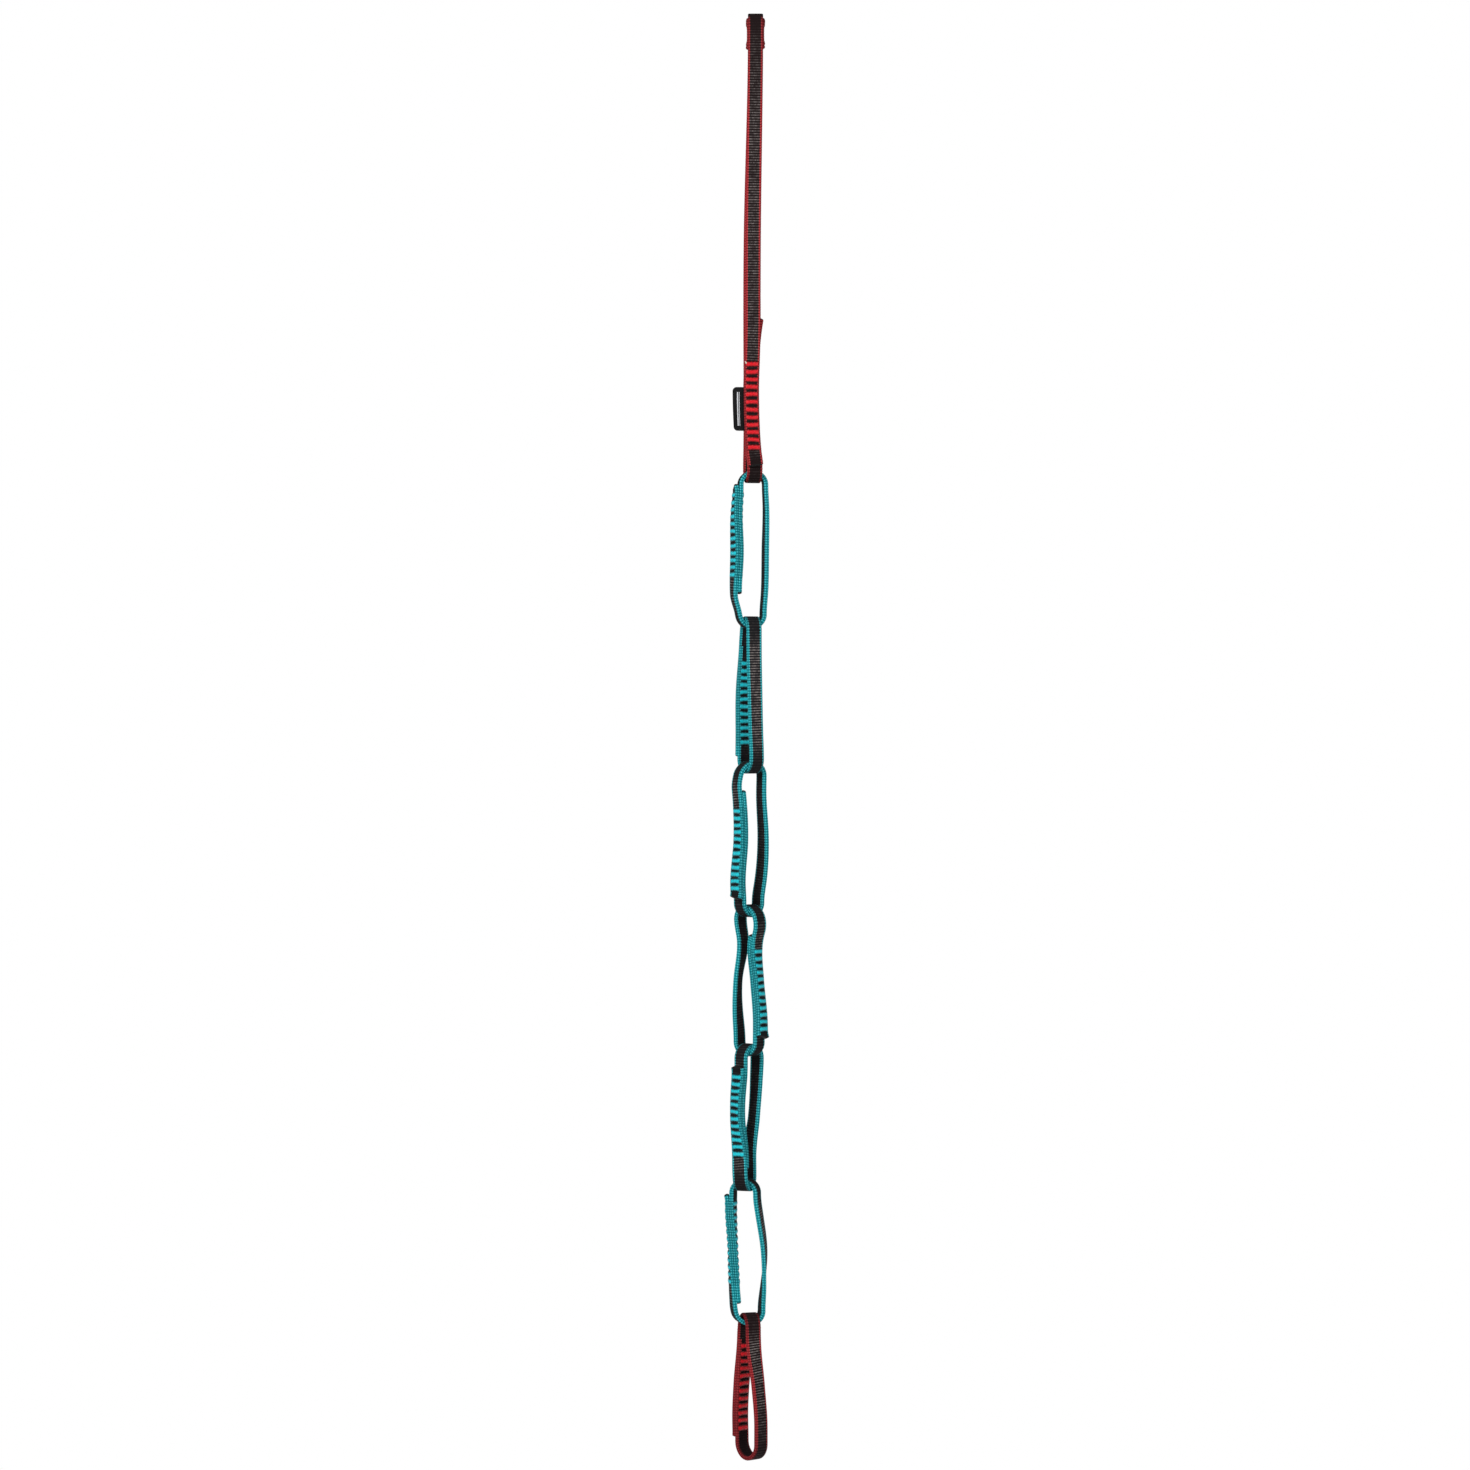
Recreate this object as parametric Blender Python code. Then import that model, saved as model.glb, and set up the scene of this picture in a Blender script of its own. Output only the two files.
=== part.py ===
"""Climbing daisy chain: eight sewn loops of flat webbing, linked end to end.

The chain hangs as it does from a harness. +Z is up, and the origin is the highest point of the space
inside the tie-in loop, where the harness carries it. Every loop is one strip of webbing, closed by a
lapped seam: the two ends lie on each other along one leg and are joined by a ladder of bar tacks. Each
loop passes through the one above, a quarter turn round, and swings about the bottom of it.

All lengths are in metres. "Down" is the distance below the centre of a loop's top bight, "out" is the
distance from the loop's middle towards a leg, and "across" is the direction of the webbing's width.
"""

import math
from collections import namedtuple

import bmesh
import bpy
from mathutils import Vector

# Webbing, the same for all eight loops
TAPE_WIDTH = 0.012
TAPE_THICKNESS = 0.003
LAP_GAP = 0.0004
CORNER_SHARES = ((1.0, 0.35), (0.35, 1.0))

# Where two loops are linked: the space beside the other loop's webbing in a bight, and between them
BIGHT_ROOM = 0.0025
LINK_CLEARANCE = 0.0007
SELVEDGE_PLACE_SHARES = (0.0, 0.35, 0.65, 0.85, 0.95)
FLARE_LENGTH = 0.018

# Inner radii of the two bights that hold no other loop
TIE_IN_BORE_RADIUS = 0.0062
END_BIGHT_RADIUS = 0.0105

# Liner inside the top of the tie-in loop
LINER_WIDTH = 0.0137
LINER_THICKNESS = 0.0018
LINER_GAP = 0.0003
LINER_TAIL = 0.0160
LINER_FLARE = 0.0008
LINER_FLARE_SPREAD = 0.0022
LINER_SEAM_INSET = 0.0018
LINER_UPPER_SEAM = -0.0042

# Label, folded and sewn into the side of the tie-in loop's seam
LABEL_HEIGHT = 0.035
LABEL_REACH = 0.009
LABEL_THICKNESS = 0.0009
LABEL_CORNER = 0.0030
LABEL_CORNER_STEPS = 4
LABEL_STEP = 0.0078
LABEL_SEAT_DEPTH = 0.0002
LABEL_ABOVE_BOTTOM = 0.0583

# Bar tacks
TACKS = 12
TACKS_PER_STEP = 3
TACK_LENGTH = 0.009
TACK_HEIGHT = 0.0036
TACK_RISE = 0.0005
TACK_CROWN_SHARE = 0.55

# Where the strip moves out by one layer, to pass over its own start
JOG_LENGTH = 0.020
JOG_CLEARANCE = 0.0015

# Steps of the lofted webbing
BIGHT_STEPS = 9
LEG_STEP = 0.0125
JOG_STEPS = 5

# The eight loops from the top down, one entry each
NAMES = ("tie_in_loop", "link_1", "link_2", "link_3", "link_4", "link_5", "link_6", "end_loop")

# Length of the tie-in loop and of a middling link, from outside to outside, and how each link differs
TIE_IN_LENGTH = 0.3750
LINK_LENGTH = 0.1213
LINK_LENGTH_SHARES = (1.0420, 1.0330, 1.0264, 0.9975, 0.9687, 0.9654, 0.9662)

# How much further apart than in a bight the two legs lie, near the top, halfway and near the bottom
UPPER_SPREADS = (0.0, 0.0014, 0.0, -0.0014, -0.0085, -0.0025, 0.0018, -0.0028)
MIDDLE_SPREADS = (-0.0050, 0.0014, 0.0010, 0.0004, -0.0045, -0.0062, 0.0034, -0.0026)
LOWER_SPREADS = (-0.0030, 0.0018, -0.0008, 0.0030, 0.0, -0.0080, 0.0018, 0.0018)

# Direction of the webbing's width, seen from above: at half the loop's length, and at its bottom
MIDDLE_TURNS_DEG = (0.0, 111.0, 23.0, 126.0, 63.0, 130.0, 85.0, 39.0)
BOTTOM_TURNS_DEG = (9.5, 104.0, 29.0, 134.0, 50.0, 162.0, 106.5, 39.0)
# How much further round than the loop the seam's leg is turned halfway, and the other leg less far
TOES_DEG = (0.0, 6.0, 0.0, 0.0, -3.0, 0.0, 6.0, 0.0)
# Which way each loop's top bight is turned from the bottom of the loop above it
QUARTER_TURNS = (0, 1, -1, 1, -1, 1, -1, -1)

# How far the bottom bight hangs to the right of the top one, and how far the middle bows out
LEANS = (-0.0022, -0.0014, -0.0003, -0.0012, 0.0, -0.0032, 0.0036, 0.0014)
BOWS = (-0.0024, 0.0008, -0.0008, 0.0024, -0.0020, 0.0002, 0.0018, 0.0)

# Which leg holds the seam, and whether the outer end of the strip points up or down
SEAM_SIDES = (-1, 1, 1, 1, -1, 1, 1, 1)
OUTER_TAIL_UP = (False, True, False, False, False, True, True, False)

# The seam's upper end below the loop's top, and its lower end above the bottom, as shares of its length
SEAM_TOP_SHARES = (0.648, 0.099, 0.177, 0.194, 0.189, 0.145, 0.114, 0.179)
SEAM_BOTTOM_SHARES = (0.033, 0.230, 0.100, 0.119, 0.126, 0.153, 0.159, 0.135)

# The ladder of tacks: how far down the seam its middle lies, and how much of the seam it takes up
LADDER_MIDDLE_SHARES = (0.597, 0.462, 0.517, 0.543, 0.543, 0.478, 0.442, 0.490)
LADDER_LENGTH_SHARES = (0.607, 0.821, 0.762, 0.785, 0.811, 0.815, 0.789, 0.896)

# How far the free end under the tie-in loop's seam has slipped sideways, and over what length
TAIL_SLIPS = (0.0028, 0.0, 0.0, 0.0, 0.0, 0.0, 0.0, 0.0)
TAIL_SLIP_LENGTH = 0.034

# Colours, linear
CHARCOAL = (0.022, 0.019, 0.019, 1.0)
TEAL = (0.0, 0.27, 0.30, 1.0)
BRIGHT_TEAL = (0.03, 0.45, 0.50, 1.0)
CRIMSON = (0.21, 0.006, 0.014, 1.0)
BRIGHT_RED = (0.45, 0.008, 0.018, 1.0)
LABEL_BLACK = (0.012, 0.012, 0.013, 1.0)
SMOOTH_BELOW_DEG = 40.0

# Worked out from the sizes above
SELVEDGE_RADIUS = TAPE_THICKNESS / 2
FLAT_HALF = TAPE_WIDTH / 2 - SELVEDGE_RADIUS
LINK_BIGHT_RADIUS = TAPE_WIDTH / 2 + BIGHT_ROOM
TIE_IN_BIGHT_RADIUS = TIE_IN_BORE_RADIUS + LINER_THICKNESS + LINER_GAP
LAYER_PITCH = TAPE_THICKNESS + LAP_GAP
LENGTHS = (TIE_IN_LENGTH,) + tuple(share * LINK_LENGTH for share in LINK_LENGTH_SHARES)
SEAM_TOPS = tuple(share * length for share, length in zip(SEAM_TOP_SHARES, LENGTHS))
SEAM_BOTTOMS = tuple(share * length for share, length in zip(SEAM_BOTTOM_SHARES, LENGTHS))
SEAM_LENGTHS = tuple(whole - top - bottom for whole, top, bottom in zip(LENGTHS, SEAM_TOPS, SEAM_BOTTOMS))
LADDER_MIDDLES = tuple(
    top + share * seam for top, share, seam in zip(SEAM_TOPS, LADDER_MIDDLE_SHARES, SEAM_LENGTHS)
)
TACK_PITCHES = tuple(share * seam / TACKS for share, seam in zip(LADDER_LENGTH_SHARES, SEAM_LENGTHS))
TAPE, SELVEDGE, THREAD = range(3)

Loop = namedtuple(
    "Loop",
    "name length upper_spread middle_spread lower_spread middle_turn bottom_turn toe lean bow "
    "seam_side outer_tail_up seam_top seam_bottom ladder_middle tack_pitch tail_slip "
    "top_radius bottom_radius leg top_turn top_centre hinge",
)


def link_drop():
    """The distance between the centres of two linked bights that lie on each other.

    Where the two cross, one is bent down and the other up, so they meet near the corners of the square
    that they share: at the edge of the flat of one, and somewhere on the other's rounded selvedge.
    """
    drops = []
    for share in SELVEDGE_PLACE_SHARES:
        beside = FLAT_HALF + share * SELVEDGE_RADIUS
        rounding = SELVEDGE_RADIUS * (1 - math.sqrt(1 - share**2))
        reach = LINK_BIGHT_RADIUS + rounding - LINK_CLEARANCE
        above = math.sqrt(reach**2 - FLAT_HALF**2)
        drops.append(above + math.sqrt(LINK_BIGHT_RADIUS**2 - beside**2))
    return min(drops)


def smooth_through(knots, at):
    """A smooth curve through (place, value) knots that is level at the first and last."""
    slopes = [0.0]
    for (x0, y0), (x1, y1), (x2, y2) in zip(knots, knots[1:], knots[2:]):
        before = (y1 - y0) / (x1 - x0)
        after = (y2 - y1) / (x2 - x1)
        slopes.append((before * (x2 - x1) + after * (x1 - x0)) / (x2 - x0))
    slopes.append(0.0)
    if at <= knots[0][0]:
        return knots[0][1]
    for index in range(len(knots) - 1):
        (x0, y0), (x1, y1) = knots[index], knots[index + 1]
        if at > x1:
            continue
        span = x1 - x0
        t = (at - x0) / span
        rise = y0 * (2 * t**3 - 3 * t**2 + 1) + y1 * (3 * t**2 - 2 * t**3)
        lean_in = slopes[index] * span * (t**3 - 2 * t**2 + t)
        lean_out = slopes[index + 1] * span * (t**3 - t**2)
        return rise + lean_in + lean_out
    return knots[-1][1]


def half_gap(loop, down):
    """Half the space between the legs."""
    top, bottom = loop.top_radius, loop.bottom_radius
    middle = (top + bottom) / 2
    flare = min(FLARE_LENGTH, loop.leg / 4)
    knots = (
        (0.0, top),
        (flare, top + loop.upper_spread / 2),
        (loop.leg / 2, middle + loop.middle_spread / 2),
        (loop.leg - flare, middle + loop.lower_spread / 2),
        (loop.leg, bottom),
    )
    return smooth_through(knots, down)


def turn(loop, down):
    """Direction of the webbing's width, as an angle from +X."""
    knots = ((0.0, loop.top_turn), (loop.leg / 2, loop.middle_turn), (loop.leg, loop.bottom_turn))
    return math.radians(smooth_through(knots, down))


def middle_line(loop, down):
    """A point on the loop's middle line."""
    knots = ((0.0, 0.0), (loop.leg / 2, loop.lean / 2 + loop.bow), (loop.leg, loop.lean))
    return loop.top_centre + Vector((smooth_through(knots, down), 0.0, -down))


def directions(angle):
    """The webbing's width direction, and the direction out of its face, at this angle from +X."""
    across = Vector((math.cos(angle), math.sin(angle), 0.0))
    out = Vector((-math.sin(angle), math.cos(angle), 0.0))
    return across, out


def on_bight(loop, out, down):
    """The point this far out and down on a bight, and the webbing's width direction there."""
    across, outward = directions(turn(loop, down))
    return middle_line(loop, down) + out * outward, across


def on_leg(loop, side, down, lift=0.0, slip=0.0):
    """A point on a leg, and the webbing's width direction there.

    The point lies in the middle of the leg's inner layer, or lifted out of its face and slipped
    sideways along its width.
    """
    middle, _ = on_bight(loop, side * (half_gap(loop, down) + TAPE_THICKNESS / 2), down)
    swing = math.sin(math.pi * min(1.0, max(0.0, down / loop.leg))) ** 2
    toe = math.radians(loop.toe) * side * loop.seam_side
    across, outward = directions(turn(loop, down) + toe * swing)
    return middle + side * lift * outward + slip * across, across


def spaced(start, end, step):
    """Even places from start to end, both included."""
    count = max(1, round(abs(end - start) / step))
    return [start + (end - start) * index / count for index in range(count + 1)]


def bight(loop, radius, centre_down, side, way, offset, lift_at=None):
    """Stations along a half circle from the leg on this side to the other; way is 1 under the bottom
    centre and -1 over the top one. Its corners stand out so that its flats keep the radius."""
    step = math.pi / BIGHT_STEPS
    found = []
    for index in range(1, BIGHT_STEPS):
        angle = step * index
        lift = lift_at(radius * (math.pi - angle)) if lift_at else 0.0
        reach = (radius + offset + lift) / math.cos(step / 2)
        out, down = side * reach * math.cos(angle), centre_down + way * reach * math.sin(angle)
        found.append(on_bight(loop, out, down))
    return found


def ladder_edges():
    """How many tacks lie above each of the stations along the ladder."""
    return list(range(0, TACKS, TACKS_PER_STEP)) + [TACKS]


def ladder_places(loop):
    """The stations along the ladder, from the top down. Each lies halfway between two tacks."""
    middle = loop.ladder_middle - loop.top_radius - TAPE_THICKNESS
    return [middle + (edge - TACKS / 2) * loop.tack_pitch for edge in ladder_edges()]


def seam_places(loop, first, last):
    """Places along the seam, from its first end to its last."""
    between = ladder_places(loop)
    if first > last:
        between.reverse()
    before = spaced(first, between[0], LEG_STEP)
    after = spaced(between[-1], last, LEG_STEP)
    return before + between[1:-1] + after


def strip_path(loop):
    """Stations (point, width direction) along the middle of the strip, from its inner end to its outer.

    The strip starts at the end of the seam where its outer end doesn't lie. It runs along the seam as
    the inner layer, round the far bight, back along the plain leg and round the near bight. There it
    moves outwards by one layer, passes over its own start and runs along the seam as the outer layer.
    """
    seam_top = loop.seam_top - loop.top_radius - TAPE_THICKNESS
    seam_bottom = loop.leg + loop.bottom_radius + TAPE_THICKNESS - loop.seam_bottom
    if loop.outer_tail_up:
        first, last, near, far = seam_bottom, seam_top, loop.leg, 0.0
        near_radius, far_radius, way = loop.bottom_radius, loop.top_radius, -1
    else:
        first, last, near, far = seam_top, seam_bottom, 0.0, loop.leg
        near_radius, far_radius, way = loop.top_radius, loop.bottom_radius, 1
    side = loop.seam_side
    half = TAPE_THICKNESS / 2
    to_start = abs(first - near)

    def lift_at(before_leg):
        """How far out the strip has moved, this far before the leg begins."""
        share = 1 - (before_leg + to_start - JOG_CLEARANCE) / JOG_LENGTH
        share = min(1.0, max(0.0, share))
        return LAYER_PITCH * (3 * share**2 - 2 * share**3)

    def slip_at(down):
        return loop.tail_slip * max(0.0, 1 - abs(down - first) / TAIL_SLIP_LENGTH) ** 2

    seam = seam_places(loop, first, last)
    beyond = spaced(last, far, LEG_STEP)[1:]
    jog_start = near + math.copysign(max(0.0, to_start - JOG_LENGTH - JOG_CLEARANCE), first - near)
    jog_end = first - math.copysign(JOG_CLEARANCE, first - near)
    jog = spaced(jog_start, jog_end, JOG_LENGTH / JOG_STEPS)
    before = spaced(near, jog_start, LEG_STEP)[:-1] if jog_start != near else []
    path = [on_leg(loop, side, down, 0.0, slip_at(down)) for down in seam + beyond]
    path += bight(loop, far_radius, far, side, way, half)
    path += [on_leg(loop, -side, down) for down in spaced(far, near, LEG_STEP)]
    path += bight(loop, near_radius, near, -side, -way, half, lift_at)
    path += [on_leg(loop, side, down, lift_at(-abs(down - near))) for down in before + jog]
    path += [on_leg(loop, side, down, LAYER_PITCH) for down in seam]
    return path


def section(width, thickness):
    """The webbing's cross-section as (across, through) corners, with rounded selvedges."""
    radius = thickness / 2
    flat = width / 2 - radius
    quarter = [(flat + radius * along, radius * through) for along, through in CORNER_SHARES]
    left = [(-along, through) for along, through in reversed(quarter)]
    top = quarter + left
    return top + [(-along, -through) for along, through in top]


def skin(mesh, material_index, *corner_sets):
    """Adds faces of one material."""
    for corners in corner_sets:
        mesh.faces.new(corners).material_index = material_index


def square_to(direction, along):
    """The part of a direction that is square to another one, with length 1."""
    return (direction - direction.dot(along) * along).normalized()


def loft(path, sections):
    """A strip through the stations, as one closed skin with flat ends. The two flats of a twisting
    strip are split along the same diagonal, so that two layers keep an even gap."""
    mesh = bmesh.new()
    rings = []
    last = len(path) - 1
    for index, (point, width) in enumerate(path):
        tangent = (path[min(index + 1, last)][0] - path[max(index - 1, 0)][0]).normalized()
        across = square_to(width, tangent)
        through = tangent.cross(across)
        corners = [point + a * across + b * through for a, b in sections[index]]
        rings.append([mesh.verts.new(corner) for corner in corners])
    count = len(rings[0])
    for near, far in zip(rings, rings[1:]):
        for index in range(count):
            after = (index + 1) % count
            if index == 1:
                skin(mesh, TAPE, (near[index], near[after], far[after]), (near[index], far[after], far[index]))
            elif index == count // 2 + 1:
                skin(mesh, TAPE, (near[index], near[after], far[index]), (near[after], far[after], far[index]))
            else:
                skin(mesh, SELVEDGE, (near[index], near[after], far[after], far[index]))
    mesh.faces.new(reversed(rings[0]))
    mesh.faces.new(rings[-1])
    bmesh.ops.recalc_face_normals(mesh, faces=mesh.faces)
    return mesh


def add_object(name, mesh, origin, materials, parent=None):
    """A named object with its origin at a point of the world, from a mesh in world coordinates."""
    bmesh.ops.translate(mesh, vec=-origin, verts=mesh.verts)
    data = bpy.data.meshes.new(name)
    mesh.to_mesh(data)
    mesh.free()
    for item in materials:
        data.materials.append(item)
    data.shade_smooth()
    data.set_sharp_from_angle(angle=math.radians(SMOOTH_BELOW_DEG))
    made = bpy.data.objects.new(name, data)
    bpy.context.scene.collection.objects.link(made)
    made.location = origin
    if parent:
        made.parent = parent
        made.location = origin - world_place(parent)
    return made


def world_place(item):
    """Where an unturned object's origin lies in the world."""
    here = item.location.copy()
    while item.parent:
        item = item.parent
        here += item.location
    return here


def surface(name, colour, roughness):
    made = bpy.data.materials.new(name)
    made.use_nodes = True
    shader = made.node_tree.nodes["Principled BSDF"]
    shader.inputs["Base Color"].default_value = colour
    shader.inputs["Roughness"].default_value = roughness
    shader.inputs["Metallic"].default_value = 0.0
    return made


def tack_block(mesh, loop, upper, lower, share):
    """One bar tack, this share of the way between two stations of the seam: a crowned bar on the outer
    face and another on the inner face, joined through both layers of webbing by their thread."""
    top, top_width = on_leg(loop, loop.seam_side, upper, LAYER_PITCH / 2)
    bottom, bottom_width = on_leg(loop, loop.seam_side, lower, LAYER_PITCH / 2)
    centre = top.lerp(bottom, share)
    along = (top - bottom).normalized()
    across = square_to(top_width.lerp(bottom_width, share), along)
    through = along.cross(across)
    edge = TAPE_THICKNESS + LAP_GAP / 2
    crown = edge + TACK_RISE
    wide = TACK_HEIGHT / 2
    narrow = wide * TACK_CROWN_SHARE
    profile = [(wide, edge), (narrow, crown), (-narrow, crown), (-wide, edge)]
    profile += [(-a, -b) for a, b in profile]
    ends = []
    for half in (-TACK_LENGTH / 2, TACK_LENGTH / 2):
        corners = [centre + half * across + a * along + b * through for a, b in profile]
        ends.append([mesh.verts.new(corner) for corner in corners])
    first, second = ends
    faces = [mesh.faces.new(first), mesh.faces.new(reversed(second))]
    for index in range(len(profile)):
        after = (index + 1) % len(profile)
        faces.append(mesh.faces.new((first[after], first[index], second[index], second[after])))
    for face in faces:
        face.material_index = THREAD


def ladder(loop):
    """The loop's bar tacks as one mesh of separate blocks."""
    mesh = bmesh.new()
    edges, places = ladder_edges(), ladder_places(loop)
    for index in range(TACKS):
        step = index // TACKS_PER_STEP
        share = (index + 0.5 - edges[step]) / (edges[step + 1] - edges[step])
        tack_block(mesh, loop, places[step], places[step + 1], share)
    bmesh.ops.recalc_face_normals(mesh, faces=mesh.faces)
    return mesh


def add_loop(loop, materials, parent):
    """The webbing strip of one loop, with its tacks joined on."""
    path = strip_path(loop)
    sections = [section(TAPE_WIDTH, TAPE_THICKNESS)] * len(path)
    strip = add_object(loop.name, loft(path, sections), loop.hinge, materials, parent)
    tacks = add_object(loop.name + "_thread", ladder(loop), loop.hinge, materials, strip)
    tacks.hide_render = True
    tacks.display_type = "WIRE"
    union = strip.modifiers.new("Sewn", "BOOLEAN")
    union.operation = "UNION"
    union.solver = "EXACT"
    union.object = tacks
    return strip


def add_liner(loop, material, parent):
    """The short strip inside the top bight, a little wider than the webbing, and widest at its seams."""
    inset = LINER_GAP + LINER_THICKNESS / 2
    seams = (LINER_UPPER_SEAM, LINER_TAIL - LINER_SEAM_INSET)
    tail = spaced(LINER_TAIL, 0.0, LEG_STEP / 4)
    path = [on_leg(loop, 1, down, -inset - TAPE_THICKNESS / 2) for down in tail]
    path += bight(loop, loop.top_radius, 0.0, 1, -1, -inset)
    path += [on_leg(loop, -1, down, -inset - TAPE_THICKNESS / 2) for down in reversed(tail)]
    sections = []
    for point, _ in path:
        down = loop.top_centre.z - point.z
        flare = sum(math.exp(-(((down - seam) / LINER_FLARE_SPREAD) ** 2)) for seam in seams)
        sections.append(section(LINER_WIDTH + 2 * LINER_FLARE * flare, LINER_THICKNESS))
    return add_object("tie_in_liner", loft(path, sections), loop.hinge, [material] * 2, parent)


def label_outline():
    """(from the label's middle along the leg, reach beyond the webbing's edge), with rounded corners."""
    half = LABEL_HEIGHT / 2
    flat = spaced(-half + LABEL_CORNER, half - LABEL_CORNER, LABEL_STEP)
    corner = []
    for index in range(1, LABEL_CORNER_STEPS + 1):
        angle = math.pi / 2 * index / LABEL_CORNER_STEPS
        along = half - LABEL_CORNER + LABEL_CORNER * math.sin(angle)
        corner.append((along, LABEL_REACH - LABEL_CORNER + LABEL_CORNER * math.cos(angle)))
    upper = [(-along, reach) for along, reach in reversed(corner)]
    return upper + [(along, LABEL_REACH) for along in flat] + corner


def add_label(loop, material, parent):
    """The folded label, whose root sits in the groove between the two layers of the seam. It follows
    the leg, so that its root keeps its distance from both layers."""
    middle = loop.length - loop.top_radius - TAPE_THICKNESS - LABEL_ABOVE_BOTTOM
    root = TAPE_WIDTH / 2 - LABEL_SEAT_DEPTH
    mesh = bmesh.new()
    rings = []
    for along, reach in label_outline():
        down = middle + along
        ring = []
        for slip, side in ((root, -1), (root, 1), (TAPE_WIDTH / 2 + reach, 1), (TAPE_WIDTH / 2 + reach, -1)):
            lift = LAYER_PITCH / 2 + side * LABEL_THICKNESS / 2
            ring.append(mesh.verts.new(on_leg(loop, loop.seam_side, down, lift, -slip)[0]))
        rings.append(ring)
    for near, far in zip(rings, rings[1:]):
        for index in range(len(near)):
            after = (index + 1) % len(near)
            mesh.faces.new((near[index], near[after], far[after], far[index]))
    mesh.faces.new(rings[0])
    mesh.faces.new(reversed(rings[-1]))
    bmesh.ops.recalc_face_normals(mesh, faces=mesh.faces)
    return add_object("label_tab", mesh, loop.hinge, [material], parent)


def planned_loops():
    """Every loop's sizes, with its place worked out from the loop above it."""
    loops = []
    centre = Vector((0.0, 0.0, -TIE_IN_BORE_RADIUS))
    hinge = Vector((0.0, 0.0, 0.0))
    top_turn = MIDDLE_TURNS_DEG[0]
    columns = zip(
        NAMES, LENGTHS, UPPER_SPREADS, MIDDLE_SPREADS, LOWER_SPREADS, MIDDLE_TURNS_DEG, BOTTOM_TURNS_DEG,
        TOES_DEG, LEANS, BOWS, SEAM_SIDES, OUTER_TAIL_UP, SEAM_TOPS, SEAM_BOTTOMS, LADDER_MIDDLES, TACK_PITCHES,
        TAIL_SLIPS,
    )
    for index, row in enumerate(columns):
        first, last = index == 0, index == len(NAMES) - 1
        top_radius = TIE_IN_BIGHT_RADIUS if first else LINK_BIGHT_RADIUS
        bottom_radius = END_BIGHT_RADIUS if last else LINK_BIGHT_RADIUS
        if not first:
            hinge = middle_line(loops[-1], loops[-1].leg)
            centre = hinge - Vector((0.0, 0.0, link_drop()))
            top_turn = loops[-1].bottom_turn + 90 * QUARTER_TURNS[index]
        leg = row[1] - top_radius - bottom_radius - 2 * TAPE_THICKNESS
        loops.append(Loop(*row, top_radius, bottom_radius, leg, top_turn, centre, hinge))
    return loops


def main():
    for item in list(bpy.data.objects):
        bpy.data.objects.remove(item)
    tape = surface("Webbing, charcoal", CHARCOAL, 0.75)
    teal = surface("Selvedge, teal", TEAL, 0.6)
    crimson = surface("Selvedge, red", CRIMSON, 0.6)
    teal_thread = surface("Thread, teal", BRIGHT_TEAL, 0.4)
    red_thread = surface("Thread, red", BRIGHT_RED, 0.4)
    loops = planned_loops()
    parent = None
    for loop in loops:
        red = loop in (loops[0], loops[-1])
        materials = [tape, crimson, red_thread] if red else [tape, teal, teal_thread]
        parent = add_loop(loop, materials, parent)
    root = bpy.data.objects[loops[0].name]
    add_liner(loops[0], surface("Webbing, liner", CHARCOAL, 0.8), root)
    add_label(loops[0], surface("Label, woven", LABEL_BLACK, 0.6), root)


main()
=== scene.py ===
import math
from collections import namedtuple

import bpy
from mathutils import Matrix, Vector


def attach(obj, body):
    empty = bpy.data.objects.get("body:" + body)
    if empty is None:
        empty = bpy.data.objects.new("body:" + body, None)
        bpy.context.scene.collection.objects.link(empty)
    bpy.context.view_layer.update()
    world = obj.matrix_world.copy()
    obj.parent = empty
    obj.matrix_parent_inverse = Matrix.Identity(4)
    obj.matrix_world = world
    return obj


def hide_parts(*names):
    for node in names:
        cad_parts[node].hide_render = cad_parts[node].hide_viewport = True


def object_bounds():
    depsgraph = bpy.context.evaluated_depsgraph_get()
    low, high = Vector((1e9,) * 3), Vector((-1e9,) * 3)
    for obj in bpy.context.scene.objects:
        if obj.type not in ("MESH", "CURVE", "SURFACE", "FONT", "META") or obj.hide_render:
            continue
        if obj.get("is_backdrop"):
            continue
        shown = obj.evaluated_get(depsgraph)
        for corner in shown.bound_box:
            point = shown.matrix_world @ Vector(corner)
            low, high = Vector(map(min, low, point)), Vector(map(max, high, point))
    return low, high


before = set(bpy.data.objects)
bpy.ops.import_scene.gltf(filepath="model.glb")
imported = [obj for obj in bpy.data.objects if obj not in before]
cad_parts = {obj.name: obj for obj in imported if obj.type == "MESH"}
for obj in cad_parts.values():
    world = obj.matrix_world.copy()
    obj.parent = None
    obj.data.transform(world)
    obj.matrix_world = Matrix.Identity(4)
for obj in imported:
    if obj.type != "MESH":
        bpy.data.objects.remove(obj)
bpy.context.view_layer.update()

bl_info = {
    "name": "Climbing daisy chain",
    "version": (1, 0, 0),
    "blender": (4, 5, 0),
    "location": "3D View > Sidebar > Daisy chain",
    "description": "Woven loops, bar tacks, liner and label for the frame of a webbing daisy chain",
    "category": "Object",
}

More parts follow.
